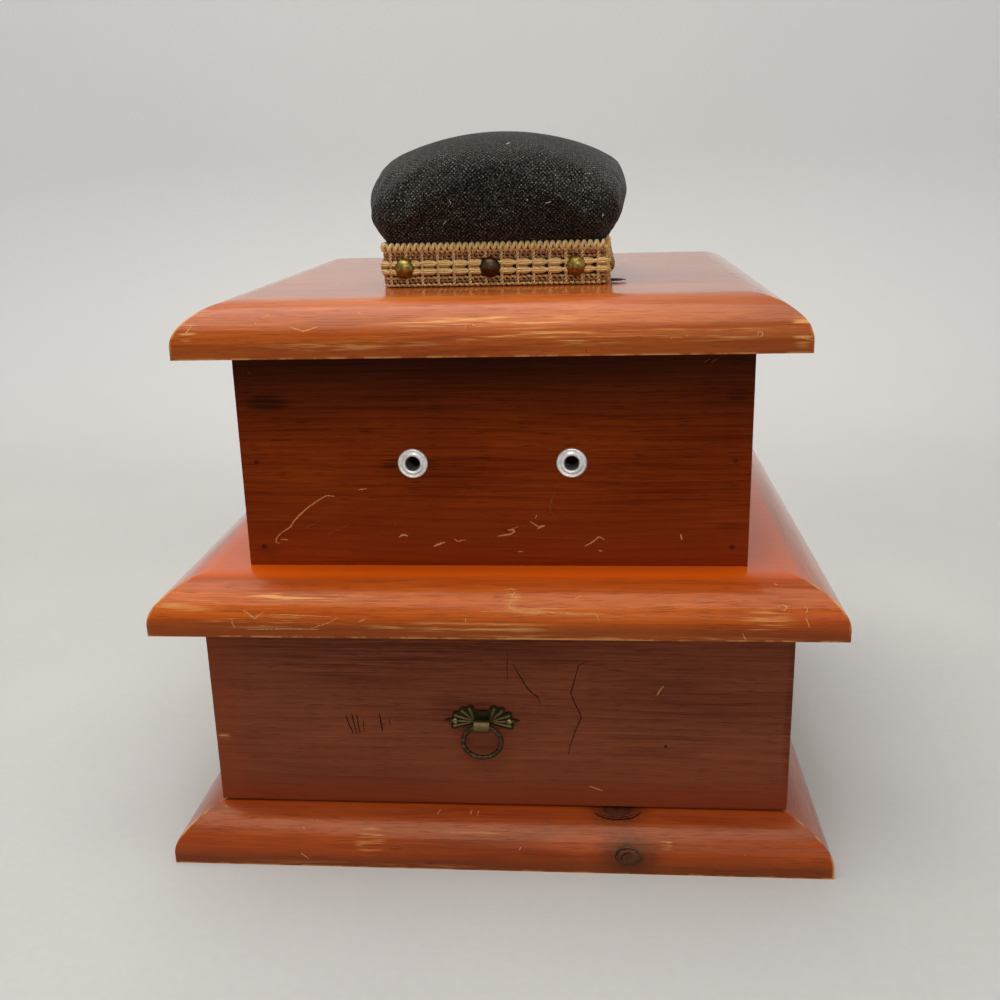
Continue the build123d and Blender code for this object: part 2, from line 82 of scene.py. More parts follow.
# ---- Node graphs ----
def tone(red, green, blue):
    """Linear colour of an sRGB triple from 0 to 255, the form in which functions take colours."""
    channels = [c / 255 for c in (red, green, blue)]
    return (*[c / 12.92 if c <= 0.04045 else ((c + 0.055) / 1.055) ** 2.4 for c in channels], 1.0)


class Graph:
    """A material whose nodes are added by short calls. Its point is in millimetres on the piece."""

    def __init__(self, name, roughness, **uniform):
        self.material = bpy.data.materials.new(name)
        self.material.use_nodes = True
        self.tree = self.material.node_tree
        self.tree.nodes.clear()
        self.shader = self.add("BsdfPrincipled")
        output = self.add("OutputMaterial")
        self.tree.links.new(self.shader.outputs[0], output.inputs[0])
        self.set("Roughness", roughness)
        for socket, value in uniform.items():
            self.set(socket.replace("_", " "), value)
        place = self.add("TexCoord").outputs["Object"]
        self.point = self.vector("SCALE", place, scale=1 / MM)

    def add(self, kind, *values, **settings):
        """A node with its settings, and with values or sockets for its first inputs."""
        node = self.tree.nodes.new("ShaderNode" + kind)
        for key, value in settings.items():
            setattr(node, key, value)
        for socket, value in zip(node.inputs, values):
            self.plug(socket, value)
        return node

    def plug(self, socket, value):
        if isinstance(value, bpy.types.NodeSocket):
            self.tree.links.new(value, socket)
        else:
            socket.default_value = value

    def set(self, socket, value):
        self.plug(self.shader.inputs[socket], value)

    def math(self, operation, *values, clamp=False):
        return self.add("Math", *values, operation=operation, use_clamp=clamp).outputs[0]

    def times(self, a, b):
        return self.math("MULTIPLY", a, b)

    def plus(self, a, b):
        return self.math("ADD", a, b)

    def minus(self, a, b, clamp=False):
        return self.math("SUBTRACT", a, b, clamp=clamp)

    def vector(self, operation, *values, scale=None):
        node = self.add("VectorMath", *values, operation=operation)
        if scale is not None:
            node.inputs["Scale"].default_value = scale
        return node.outputs["Value" if operation in ("LENGTH", "DOT_PRODUCT") else "Vector"]

    def parts(self, vector):
        return tuple(self.add("SeparateXYZ", vector).outputs)

    def noise(self, scales, detail=2.0, roughness=0.5, shift=0.0):
        """Noise from 0 to 1, with one scale or a scale for each axis."""
        scales = scales if isinstance(scales, tuple) else (scales,) * 3
        node = self.add("TexNoise")
        stretched = self.vector("MULTIPLY_ADD", self.point, scales, (shift, shift, shift))
        self.plug(node.inputs["Vector"], stretched)
        node.inputs["Scale"].default_value = 1.0
        node.inputs["Detail"].default_value = detail
        node.inputs["Roughness"].default_value = roughness
        return node.outputs[0]

    def band(self, value, low, high):
        """0 at low and 1 at high, with a soft step between them."""
        return self.add("MapRange", value, low, high, interpolation_type="SMOOTHSTEP").outputs[0]

    def ramp(self, value, *stops):
        node = self.add("ValToRGB", value)
        elements = node.color_ramp.elements
        while len(elements) < len(stops):
            elements.new(1.0)
        for element, (position, colour) in zip(elements, stops):
            element.position = position
            element.color = colour if isinstance(colour, tuple) else (colour, colour, colour, 1)
        return node.outputs[0]

    def mix(self, factor, a, b):
        node = self.add("Mix", data_type="RGBA")
        self.plug(node.inputs[0], factor)
        self.plug(node.inputs[6], a)
        self.plug(node.inputs[7], b)
        return node.outputs[2]

    def bump(self, height, distance, strength=1.0, socket="Normal"):
        """Relief of a height from 0 to 1 that is this many millimetres deep."""
        node = self.add("Bump")
        self.plug(node.inputs["Height"], height)
        node.inputs["Distance"].default_value = distance * MM
        node.inputs["Strength"].default_value = strength
        self.set(socket, node.outputs[0])


# ---- Wood ----
UPPER_TONES = ((52, 12, 1), (112, 36, 4), (150, 60, 12))
LOWER_TONES = ((72, 32, 19), (122, 62, 41), (144, 78, 50))
PLATE_TONES = ((84, 26, 6), (148, 54, 12), (180, 78, 22))
BARE_TONES = ((170, 124, 76), (206, 165, 112), (226, 192, 144))
WORN = tone(232, 168, 98)
AMBER = (1.0, 0.56, 0.24, 1.0)
POLISH = {"coat_ior": 1.17, "specular": 0.42}  # the plates shine more than the walls
AXES = "xyz"


def stretched(along, slow, fast):
    """Noise scales of a pattern drawn out along the grain."""
    return tuple(slow if axis == along else fast for axis in AXES)


def inside(g, limits):
    """1 where each coordinate is within its limits: (axis, whether its size counts, low, high)."""
    parts = g.parts(g.point)
    mask = None
    for axis, absolute, low, high in limits:
        value = parts[AXES.index(axis)]
        if absolute:
            value = g.math("ABSOLUTE", value)
        step = g.band(value, low, high)
        mask = step if mask is None else g.times(mask, step)
    return mask


def near(g, centre, radii):
    """1 in the middle of an ellipsoid and 0 outside it."""
    offset = g.vector("SUBTRACT", g.point, centre)
    share = g.vector("MULTIPLY", offset, tuple(1 / r for r in radii))
    return g.band(g.vector("LENGTH", share), 1.0, 0.35)


def any_of(g, masks):
    """The strongest of several masks at each point."""
    found = masks[0]
    for mask in masks[1:]:
        found = g.math("MAXIMUM", found, mask)
    return found


def from_edges(g, half_width, half_depth):
    """How far in the point is from the side edges of a plate, and from its front and back edges."""
    x, y, _ = g.parts(g.point)
    return g.minus(half_width, g.math("ABSOLUTE", x)), g.minus(half_depth, g.math("ABSOLUTE", y))


def turned_at_sides(g, half_width, half_depth):
    """The point with its grain turned to run along the left and right mouldings of a plate, as far as the mitres."""
    x, y, z = g.parts(g.point)
    in_x, in_y = from_edges(g, half_width, half_depth)
    beyond = g.times(g.band(g.minus(in_y, in_x), 0.0, 0.1), g.band(in_x, 11.5, 11.4))
    return g.mix(beyond, g.point, g.add("CombineXYZ", y, x, z).outputs[0])


def wood(name, along, tones, pith, spacing=3.1, seed=0.0, bare=None, patches=(), smears_and_shade=(), knots=(),
         plate=None, bands=(), coat_ior=1.1, specular=0.06):
    """Board with growth rings round a pith line, fibres, pores and, where it is stained, lacquer. Its colour also
    takes dark smears and bands, some of which are painted light and painted shade.
    """
    g = Graph(name, 0.33, Coat_Roughness=0.1, Coat_IOR=coat_ior, Specular_IOR_Level=specular, Specular_Tint=AMBER)
    place = g.point
    if plate:
        g.point = turned_at_sides(g, *plate[:2])
    drift = g.noise(stretched(along, 0.0055, 0.022), shift=seed)
    fibre = g.noise(stretched(along, 0.04, 1.7), detail=4.0, roughness=0.66, shift=seed + 3)
    pores = g.band(g.noise(stretched(along, 0.15, 3.1), roughness=0.55, shift=seed + 7), 0.57, 0.66)
    figure = g.noise(stretched(along, 0.014, 0.055), shift=seed + 11)
    flat = g.vector("MULTIPLY", g.vector("SUBTRACT", g.point, pith), stretched(along, 0.0, 1.0))
    streaks = g.band(g.noise(stretched(along, 0.05, 1.05), detail=3.0, roughness=0.6, shift=seed + 17), 0.47, 0.64)
    g.point = place
    wander = g.times(g.minus(drift, 0.5), 16.0)
    radius = g.plus(g.vector("LENGTH", flat), wander)
    turn = g.math("FRACT", g.math("DIVIDE", radius, spacing))
    ring = g.ramp(turn, (0.0, 0.1), (0.5, 0.3), (0.8, 0.95), (0.9, 1.0), (1.0, 0.1))
    level = g.math("MULTIPLY_ADD", fibre, 0.62, g.math("MULTIPLY_ADD", figure, 0.62, 0.02))
    level = g.minus(level, g.times(ring, 0.11))
    dark, middle, light = (tone(*shade) for shade in tones)
    colour = g.ramp(level, (0.2, dark), (0.5, middle), (0.82, light))
    colour = g.mix(g.times(pores, 0.5), colour, dark)
    # Dark smears in the stain, and painted shade where a board meets another or sits under one.
    for centre, radii, strength in smears_and_shade:
        darkening = g.times(near(g, centre, radii), g.band(fibre, 0.68, 0.36))
        colour = g.mix(g.times(darkening, strength), colour, dark)
    # Bands of another colour towards one end of an axis. Most of those given are painted light, painted shade and
    # painted reflection.
    for axis, low, high, shade, strength in bands:
        reach = g.times(inside(g, ((axis, False, low, high),)), strength)
        colour = g.mix(reach, colour, tone(*shade))
    wear = None
    if patches:
        masks = [g.times(near(g, centre, radii), strength) for centre, radii, strength in patches]
        wear = g.times(any_of(g, masks), streaks)
    if plate:
        arris = plate_wear(g, seed, *plate)
        wear = arris if wear is None else g.math("MAXIMUM", wear, arris)
    if wear is not None:
        colour = g.mix(wear, colour, WORN)
    for centre, size in knots:
        colour = knot(g, colour, centre, size)
    stained = 1.0
    if bare:
        raw = 1.0 if bare == "all" else inside(g, bare)
        stained = 0.0 if bare == "all" else g.minus(1.0, raw)
        raw_dark, raw_middle, raw_light = (tone(*shade) for shade in BARE_TONES)
        pale = g.ramp(level, (0.2, raw_dark), (0.5, raw_middle), (0.82, raw_light))
        pale = g.mix(g.times(pores, 0.3), pale, raw_dark)
        colour = g.mix(raw, colour, pale)
    g.set("Base Color", colour)
    coat = stained if wear is None else g.minus(stained, g.times(wear, 0.5), clamp=True)
    g.set("Coat Weight", coat)
    relief = g.minus(g.times(fibre, 0.5), g.times(pores, 0.5))
    g.bump(relief, 0.12, 0.6)
    ripple = g.plus(g.noise(stretched(along, 0.03, 0.12), shift=seed), g.times(fibre, 0.05))
    g.bump(ripple, 0.25, 0.35, "Coat Normal")
    return g.material


def plate_wear(g, seed, half_width, half_depth, bottom):
    """Lacquer rubbed off a moulded plate along its mitres and its lower arris."""
    in_x, in_y = from_edges(g, half_width, half_depth)
    mitre = g.band(g.math("ABSOLUTE", g.minus(in_x, in_y)), 0.85, 0.2)
    slope = g.band(g.math("MINIMUM", in_x, in_y), 12.0, 8.0)
    patchy = g.band(g.noise(0.16, detail=3.0, shift=seed + 23), 0.42, 0.6)
    height = g.minus(g.parts(g.point)[2], bottom)
    lip = g.times(g.band(height, 0.75, 0.2), g.band(height, -0.3, 0.05))
    rim = g.band(g.math("MINIMUM", in_x, in_y), 0.9, 0.3)
    lip = g.times(g.times(lip, rim), 0.5)
    corner = g.times(mitre, g.times(slope, 0.75))
    return g.times(g.math("MAXIMUM", corner, lip), patchy)


def knot(g, colour, centre, size):
    """Dark knot: a halo in the stain, broken rings and a nearly black middle."""
    offset = g.vector("MULTIPLY", g.vector("SUBTRACT", g.point, centre), (0.75, 1.0, 1.0))
    ragged = g.times(g.minus(g.noise(0.5, detail=3.0), 0.5), size * 0.7)
    distance = g.math("DIVIDE", g.plus(g.vector("LENGTH", offset), ragged), size)
    halo = g.times(g.band(distance, 2.3, 0.7), 0.72)
    colour = g.mix(halo, colour, tone(70, 24, 10))
    colour = g.mix(g.times(g.band(distance, 0.95, 0.6), 0.75), colour, tone(66, 36, 22))
    rings = g.math("SINE", g.times(distance, 12.0))
    rings = g.times(g.band(rings, 0.3, 0.9), g.band(distance, 1.15, 0.9))
    return g.mix(g.times(rings, 0.6), colour, tone(30, 14, 9))


# ---- Metals, cloth and thread ----
def metal(name, deep, bright, roughness, relief=0.02, grime=0.5, raised=None, dulled=()):
    """Metal whose colour goes from grimy to clean, by noise and by height where it is raised."""
    g = Graph(name, roughness, Metallic=1.0)
    cloud = g.noise(0.9, detail=4.0, roughness=0.65)
    fine = g.noise(4.5, detail=3.0, roughness=0.6, shift=5)
    level = g.band(g.plus(g.times(cloud, 0.7), g.times(fine, 0.3)), 0.5 - grime * 0.3, 0.7)
    if raised:
        axis, low, high = raised
        level = g.math("MULTIPLY_ADD", inside(g, ((axis, False, low, high),)), 0.75, g.times(level, 0.35))
    colour = g.mix(level, tone(*deep), tone(*bright))
    for centre, radii, shade in dulled:
        colour = g.mix(near(g, centre, radii), colour, tone(*shade))
    g.set("Base Color", colour)
    g.set("Roughness", g.math("MULTIPLY_ADD", g.minus(1.0, level), 0.3, roughness))
    g.bump(g.plus(cloud, g.times(fine, 0.6)), relief, 0.7)
    return g.material


def weave_height(g, u, v, pitch):
    """Over and under of a plain weave with threads along two coordinates."""
    across = g.math("SINE", g.times(u, pi / pitch))
    along = g.math("SINE", g.times(v, pi / pitch))
    return g.math("MULTIPLY_ADD", g.times(across, along), 0.5, 0.5)


def plain_weave(name):
    """Charcoal cloth with lighter flecks in the weave, and painted shade in the hollows between its threads."""
    g = Graph(name, 0.95, Sheen_Weight=0.2, Sheen_Roughness=0.4, Specular_IOR_Level=0.08)
    wobble = g.times(g.minus(g.noise(0.35, detail=1.0), 0.5), 0.9)
    x, y, z = (g.plus(part, wobble) for part in g.parts(g.point))
    normal = g.add("NewGeometry").outputs["Normal"]
    turned = g.add("VectorTransform", normal, vector_type="NORMAL", convert_from="WORLD", convert_to="OBJECT")
    nx, ny, nz = (g.math("ABSOLUTE", part) for part in g.parts(turned.outputs[0]))
    pitch = 0.62
    front = weave_height(g, x, z, pitch)
    side = weave_height(g, y, z, pitch)
    top = weave_height(g, x, y, pitch)
    sideways = g.band(g.minus(nx, ny), -0.05, 0.05)
    wall = g.mix(sideways, front, side)
    height = g.mix(g.band(g.minus(nz, g.math("MAXIMUM", nx, ny)), -0.05, 0.05), wall, top)
    slub = g.noise(0.85, detail=3.0, roughness=0.75)
    grit = g.noise(1.9, roughness=0.8, shift=9)
    # Thread crowns are lighter and the hollows near black, painted shade in the weave; the flecks show most on the
    # crowns.
    crowns = g.band(height, 0.5, 0.95)
    fleck = g.times(g.band(grit, 0.5, 0.66), g.math("MULTIPLY_ADD", crowns, 0.75, 0.25))
    haze = g.band(g.noise(0.06, shift=4), 0.35, 0.7)
    colour = g.mix(crowns, tone(9, 8, 7), tone(62, 58, 52))
    colour = g.mix(g.times(g.band(slub, 0.6, 0.4), 0.8), colour, tone(14, 13, 11))
    colour = g.mix(g.times(fleck, g.math("MULTIPLY_ADD", haze, 0.35, 0.6)), colour, tone(172, 165, 150))
    g.set("Base Color", colour)
    g.bump(g.plus(height, g.times(slub, 0.5)), 0.2, 1.0)
    return g.material


def thread(name, deep, middle, light, scales=(0.9, 0.9, 3.0), roughness=0.6):
    """Shiny spun thread with uneven dye and fine fibres."""
    g = Graph(name, roughness, Sheen_Weight=0.3)
    dye = g.noise(scales, detail=3.0, roughness=0.6)
    fibre = g.noise(5.0, detail=3.0, roughness=0.7, shift=3)
    level = g.plus(g.times(dye, 0.65), g.times(fibre, 0.35))
    g.set("Base Color", g.ramp(level, (0.3, tone(*deep)), (0.5, tone(*middle)), (0.68, tone(*light))))
    g.bump(fibre, 0.08, 0.8)
    return g.material


def scraped(name, colour, other, roughness=0.6):
    """Bottom of a scratch: bare or dirty wood of uneven colour."""
    g = Graph(name, roughness, Specular_IOR_Level=0.05)
    level = g.noise(1.6, detail=3.0, roughness=0.7)
    g.set("Base Color", g.mix(g.band(level, 0.35, 0.65), tone(*colour), tone(*other)))
    g.bump(level, 0.05, 0.6)
    return g.material


# ---- Mesh helpers ----
class Shape:
    """Points and faces of one piece, gathered in millimetres."""

    def __init__(self):
        self.points = []
        self.faces = []
        self.slots = []

    def face(self, corners, slot):
        self.faces.append(corners)
        self.slots.append(slot)

    def tube(self, line, radius, sides=5, slot=0, closed=False, up=Vector((0, 0, 1))):
        """Thread along a line of points. The radius is a number or one for each point."""
        count = len(line)
        start = len(self.points)
        for i, point in enumerate(line):
            before = line[i - 1] if i or closed else line[i]
            after = line[(i + 1) % count] if i < count - 1 or closed else line[i]
            ahead = (after - before).normalized()
            side = ahead.cross(up)
            if side.length < 1e-4:
                side = ahead.cross(Vector((1, 0, 0)))
            side.normalize()
            lift = side.cross(ahead)
            size = radius[i] if isinstance(radius, (list, tuple)) else radius
            for k in range(sides):
                angle = 2 * pi * k / sides
                self.points.append(point + side * (size * cos(angle)) + lift * (size * sin(angle)))
        for i in range(count if closed else count - 1):
            a, b = start + i * sides, start + ((i + 1) % count) * sides
            for k in range(sides):
                n = (k + 1) % sides
                self.face((a + k, a + n, b + n, b + k), slot)
        if not closed:
            last = start + (count - 1) * sides
            self.face(tuple(start + k for k in reversed(range(sides))), slot)
            self.face(tuple(last + k for k in range(sides)), slot)

    def piece(self, name, body, materials, smooth=True):
        mesh = bpy.data.meshes.new(name)
        mesh.from_pydata([p * MM for p in self.points], [], self.faces)
        mesh.validate()
        for material in materials:
            mesh.materials.append(material)
        for polygon, index in zip(mesh.polygons, self.slots):
            polygon.material_index = index
            polygon.use_smooth = smooth
        made = placed(name, mesh)
        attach(made, body)
        return made


def placed(name, data):
    made = bpy.data.objects.new(name, data)
    scene.collection.objects.link(made)
    return made


def smoothed(mesh):
    for polygon in mesh.polygons:
        polygon.use_smooth = True


def surface(*names):
    """Search trees of CAD nodes, in metres."""
    graph = bpy.context.evaluated_depsgraph_get()
    return [BVHTree.FromObject(frame["nodes"][name], graph) for name in names]


def settle(trees, point):
    """Nearest place on the nodes to a point in millimetres, with the way out of the surface."""
    found = [tree.find_nearest(point * MM) for tree in trees]
    spot, normal, _, _ = min((hit for hit in found if hit[0] is not None), key=lambda hit: hit[3])
    return spot / MM, normal


PALE, FAINT, DARK, DIM = range(4)  # places in mark_materials


def marks(name, body, nodes, lines, seed):
    """Scratches and cracks: thin ragged ribbons that lie on the surface of CAD nodes."""
    draw = Random(seed).random
    trees = surface(*nodes)
    shape = Shape()
    for slot, width, *line in lines:
        path = [Vector(p) for p in line]
        dense = []
        for a, b in zip(path, path[1:]):
            steps = max(1, round((b - a).length / MARK_STEP))
            dense += [a.lerp(b, k / steps) for k in range(steps)]
        dense.append(path[-1])
        if len(dense) < 3:
            dense = [dense[0], dense[0].lerp(dense[-1], 0.5), dense[-1]]
        start = len(shape.points)
        for i, point in enumerate(dense):
            t = i / (len(dense) - 1)
            ahead = (dense[min(i + 1, len(dense) - 1)] - dense[max(i - 1, 0)]).normalized()
            spot, normal = settle(trees, point)
            side = normal.cross(ahead).normalized()
            taper = 0.25 + 0.75 * sin(pi * min(1.0, 0.04 + t * 0.92)) ** 0.5
            half = width * 0.42 * taper * (0.65 + 0.6 * draw())
            spot = spot + side * ((draw() - 0.5) * width * 0.35)
            for share, lift in ((-1.0, 0.015), (0.0, 0.03), (1.0, 0.015)):
                shape.points.append(spot + side * (share * half) + normal * lift)
        for i in range(len(dense) - 1):
            a = start + i * 3
            for k in range(2):
                shape.face((a + k, a + k + 1, a + k + 4, a + k + 3), slot)
    return shape.piece(name, body, mark_materials, smooth=False)


# ---- Pincushion ----
def around(half, corner, step):
    """Points, ways along and ways out, round a square with rounded corners."""
    line = []
    straight = half - corner
    for turn in range(4):
        out = Matrix.Rotation(radians(90 * turn), 3, "Z") @ Vector((0, -1, 0))
        along = Matrix.Rotation(radians(90 * turn), 3, "Z") @ Vector((1, 0, 0))
        count = max(2, round(2 * straight / step))
        for k in range(count):
            shift = -straight + 2 * straight * k / count
            line.append((out * half + along * shift, along.copy(), out.copy()))
        bend = max(2, round(corner * pi / 2 / step))
        centre = out * straight + along * straight
        for k in range(bend):
            angle = pi / 2 * k / bend
            way = out * cos(angle) + along * sin(angle)
            line.append((centre + way * corner, along * cos(angle) - out * sin(angle), way))
    middle = Vector((0, CUSHION_Y, LID_TOP))
    return [(point + middle, along, out) for point, along, out in line]


def even_path(half, corner, pitch, per_pitch):
    """The round of a square with a whole number of pitches, and the phase at each point."""
    fine = around(half, corner, 0.1)
    length = 0.0
    stops = [0.0]
    for (a, _, _), (b, _, _) in zip(fine, fine[1:] + fine[:1]):
        length += (b - a).length
        stops.append(length)
    pitches = round(length / pitch)
    count = pitches * per_pitch
    path = []
    index = 0
    for k in range(count):
        goal = length * k / count
        while stops[index + 1] < goal:
            index += 1
        a, along, out = fine[index]
        path.append((a + along * (goal - stops[index]), along, out, 2 * pi * k / per_pitch))
    return path


def gimp():
    """Gold gimp braid: coiled upper edge, woven rows, two bundled cords and the threads that bind them, over a dark
    sheet that paints the shade in its gaps.
    """
    shape = Shape()
    up = Vector((0, 0, 1))
    draw = Random(5).random
    # A dark sheet behind the threads: painted shade in the gaps of the braid.
    backing = around(BRAID_HALF - 0.55, 1.8, 1.2)
    start = len(shape.points)
    levels = (0.15, 3.2, 6.4, 9.6, 12.3)
    for point, _, out in backing:
        for level in levels:
            shape.points.append(point + up * level)
    count = len(levels)
    for i in range(len(backing)):
        a, b = start + i * count, start + ((i + 1) % len(backing)) * count
        for k in range(count - 1):
            shape.face((a + k, b + k, b + k + 1, a + k + 1), 2)
    coil = even_path(BRAID_HALF + 0.05, 2.2, 1.87, 12)
    line = [p + up * (12.0 + 0.95 * sin(phase)) + out * (0.35 + 0.45 * cos(phase))
            for p, _, out, phase in coil]
    shape.tube(line, 0.52, 6, slot=3, closed=True)
    for row, height in enumerate((0.7, 1.75, 2.8, 8.6, 9.65, 10.6)):
        path = even_path(BRAID_HALF - 0.2, 1.9, 1.6, 6)
        shift = pi * (row % 2)
        line = [p + out * (0.42 * sin(phase + shift)) + up * (height + 0.16 * cos(phase + shift))
                for p, _, out, phase in path]
        shape.tube(line, 0.43, 5, slot=(0, 1, 0, 1, 1, 0)[row], closed=True)
    for height in CORD_HEIGHTS:
        for strand in range(6):
            angle = pi * (strand / 5 * 1.25 - 0.125) - pi / 2
            path = even_path(BRAID_HALF + 0.1, 2.0, BIND, 12)
            offset = draw()
            line = []
            sizes = []
            for p, _, out, phase in path:
                full = sin(phase / 2) ** 2
                full = 1 - (1 - full) ** 3
                swell = 0.34 + 0.5 * full + 0.03 * sin(phase * 3 + strand * 2 + offset)
                line.append(p + up * (height + swell * sin(angle)) + out * (0.1 + 1.0 * swell * cos(angle)))
                sizes.append(0.24 + 0.09 * full)
            shape.tube(line, sizes, 5, slot=0 if strand % 3 == 1 else 3, closed=True)
    ties = [(p, along, out) for p, along, out, phase in even_path(BRAID_HALF, 2.0, BIND, 1)]
    for p, along, out in ties:
        for strand in range(2):
            line = []
            for k in range(45):
                height = 0.4 + 11.2 * k / 44
                over = 0.5 * max(exp(-((height - cord) ** 2)) for cord in CORD_HEIGHTS)
                twist = 2 * pi * height / 2.1 + pi * strand
                lift = out * (0.3 + over + 0.34 * cos(twist))
                line.append(p + up * height + lift + along * (0.3 * sin(twist)))
            shape.tube(line, 0.23, 5, slot=3 if strand else 4, up=out)
    for p, along, out in around(BRAID_HALF - 0.1, 1.9, 1.6):
        lean = 0.15 * (draw() - 0.5)
        for low, rows in ((0.35, 2.9), (8.2, 2.9)):
            line = [p + up * (low + rows * k / 6) + out * (0.14 + 0.3 * sin(1.9 * k)) + along * lean * k
                    for k in range(7)]
            shape.tube(line, 0.18, 4, slot=0, up=out)
    return shape.piece("gimp_braid_threads", "lid", [gold, rust, gap_shade_backing, pale_gold, pink_gold])


def frayed_end():
    """Loose ends of the braid at its join on the front right corner."""
    shape = Shape()
    draw = Random(11).random
    corner = Vector((BRAID_HALF - 0.6, CUSHION_Y - BRAID_HALF + 0.6, LID_TOP))
    for k in range(46):
        height = 1.2 + 12.4 * draw()
        way = Vector((0.5 + 0.7 * draw(), -0.75 + 0.9 * draw(), 0)).normalized()
        point = corner + way * 0.5 + Vector((0, 0, height))
        line = [point.copy()]
        bend = Vector((draw() - 0.6, draw() - 0.5, draw() - 0.35)) * 0.35
        ahead = (way * 0.7 + Vector((0, 0, 0.7 * draw() - 0.2))).normalized()
        for _ in range(5):
            ahead = (ahead + bend).normalized()
            point = point + ahead * (0.25 + 0.2 * draw())
            point.z = max(point.z, LID_TOP + 0.2)
            line.append(point.copy())
        shape.tube(line, [0.2, 0.2, 0.18, 0.16, 0.12, 0.07], 4, slot=k % 2)
    hem = []
    for k in range(9):
        turn = k / 8
        hem.append(corner + Vector((1.15 + 0.35 * sin(turn * 9), -0.5 + 0.3 * turn, 1.0 + 12.4 * turn)))
    shape.tube(hem, [0.35, 0.5, 0.55, 0.6, 0.5, 0.6, 0.65, 0.6, 0.4], 6, slot=0)
    return shape.piece("gimp_braid_end", "lid", [gold, pale_gold])


def applied(made):
    """The object's mesh with its modifiers applied, which are then removed."""
    graph = bpy.context.evaluated_depsgraph_get()
    mesh = bpy.data.meshes.new_from_object(made.evaluated_get(graph))
    made.modifiers.clear()
    return mesh


def simulated(mesh, centre, scale):
    """The pad blown up like a stuffed cover: held at its foot, swollen above it, and capped."""
    for vertex in mesh.vertices:
        vertex.co = (vertex.co - centre) * scale
    cover = placed("cover", mesh)
    remesh = cover.modifiers.new("even", "REMESH")
    remesh.mode = "VOXEL"
    remesh.voxel_size = 0.0021 * scale
    even = applied(cover)
    cover.data = even
    foot = cover.vertex_groups.new(name="held")
    low = min(v.co.z for v in even.vertices)
    for vertex in even.vertices:
        rise = (vertex.co.z - low) / (5.0 * MM * scale)
        if rise < 1:
            foot.add([vertex.index], 1.0, "REPLACE")
        else:
            pull = 0.99 + 0.01 * max(0.0, 1 - (rise - 1) / 1.5)
            drop = SWELL * scale * min(1, rise - 1)
            vertex.co = Vector((vertex.co.x * pull, vertex.co.y * pull, vertex.co.z - drop))
    rest = [v.co.copy() for v in even.vertices]
    cloth = cover.modifiers.new("cloth", "CLOTH")
    for key, value in (("quality", 6), ("use_pressure", True), ("uniform_pressure_force", 4),
                       ("vertex_group_mass", "held"), ("tension_stiffness", 25),
                       ("compression_stiffness", 12), ("bending_stiffness", 0.4)):
        setattr(cloth.settings, key, value)
    cloth.settings.effector_weights.gravity = 0
    cloth.collision_settings.use_collision = False
    cloth.point_cache.frame_start = 1
    cloth.point_cache.frame_end = CLOTH_FRAMES
    for step in range(1, CLOTH_FRAMES + 1):
        scene.frame_set(step)
    blown = applied(cover)
    scene.frame_set(1)
    cap = SWELL * scale
    for vertex, start in zip(blown.vertices, rest):
        move = vertex.co - start
        if move.length > cap:
            vertex.co = start + move * (cap / move.length)
    cover.data = blown
    for vertex in cover.data.vertices:
        vertex.co = vertex.co / scale + centre
    return cover


def crease(p):
    """How far, in millimetres, the cover is pulled in by its corner pleats and its gathers at the foot."""
    flat = Vector((p.x, p.y - CUSHION_Y))
    angle = degrees(atan2(flat.y, flat.x))
    rise = p.z - LID_TOP - FOOT_HEIGHT
    depth = 0.0
    for corner, lean, strength in ((-45, -0.28, 0.32), (45, 0.3, 0.35), (135, -0.25, 0.4), (-135, 0.25, 0.1)):
        off = (angle - corner - lean * (rise - 12) + 180) % 360 - 180
        fade = max(0.0, min(1.0, (34 - rise) / 14)) * min(1.0, max(0.0, rise) / 6)
        depth += strength * fade * (0.95 * exp(-((off / 2.6) ** 2)) - 0.4 * exp(-(((off - 7) / 4.5) ** 2)))
    fade = max(0.0, 1 - max(0.0, rise - 2) / 11) ** 1.5
    wave = sin(radians(angle) * 31 + 1.3 * sin(radians(angle) * 5))
    depth += fade * 0.13 * (wave + 0.6 * sin(radians(angle) * 53 + 2))
    return depth


def cushion_cover():
    """Stuffed pad of charcoal cloth, simulated from the CAD pad."""
    source = frame["nodes"]["pincushion_pad"]
    centre = Vector((0, CUSHION_Y, LID_TOP + FOOT_HEIGHT)) * MM
    cover = simulated(source.data.copy(), centre, 5.0)
    cover.name = "pincushion_cover"
    for vertex in cover.data.vertices:
        p = vertex.co / MM
        flat = Vector((p.x, p.y - CUSHION_Y, 0))
        if flat.length > 1:
            p -= flat.normalized() * (crease(p) - 1.7 * exp(-(((p.z - LID_TOP - 13.5) / 3.2) ** 2)))
        vertex.co = p * MM
    cover.data.materials.clear()
    cover.data.materials.append(cloth_weave)
    smoothed(cover.data)
    smooth = cover.modifiers.new("finer", "SUBSURF")
    smooth.levels = 1
    smooth.render_levels = 1
    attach(cover, "lid")
    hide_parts("pincushion_pad")
    return cover


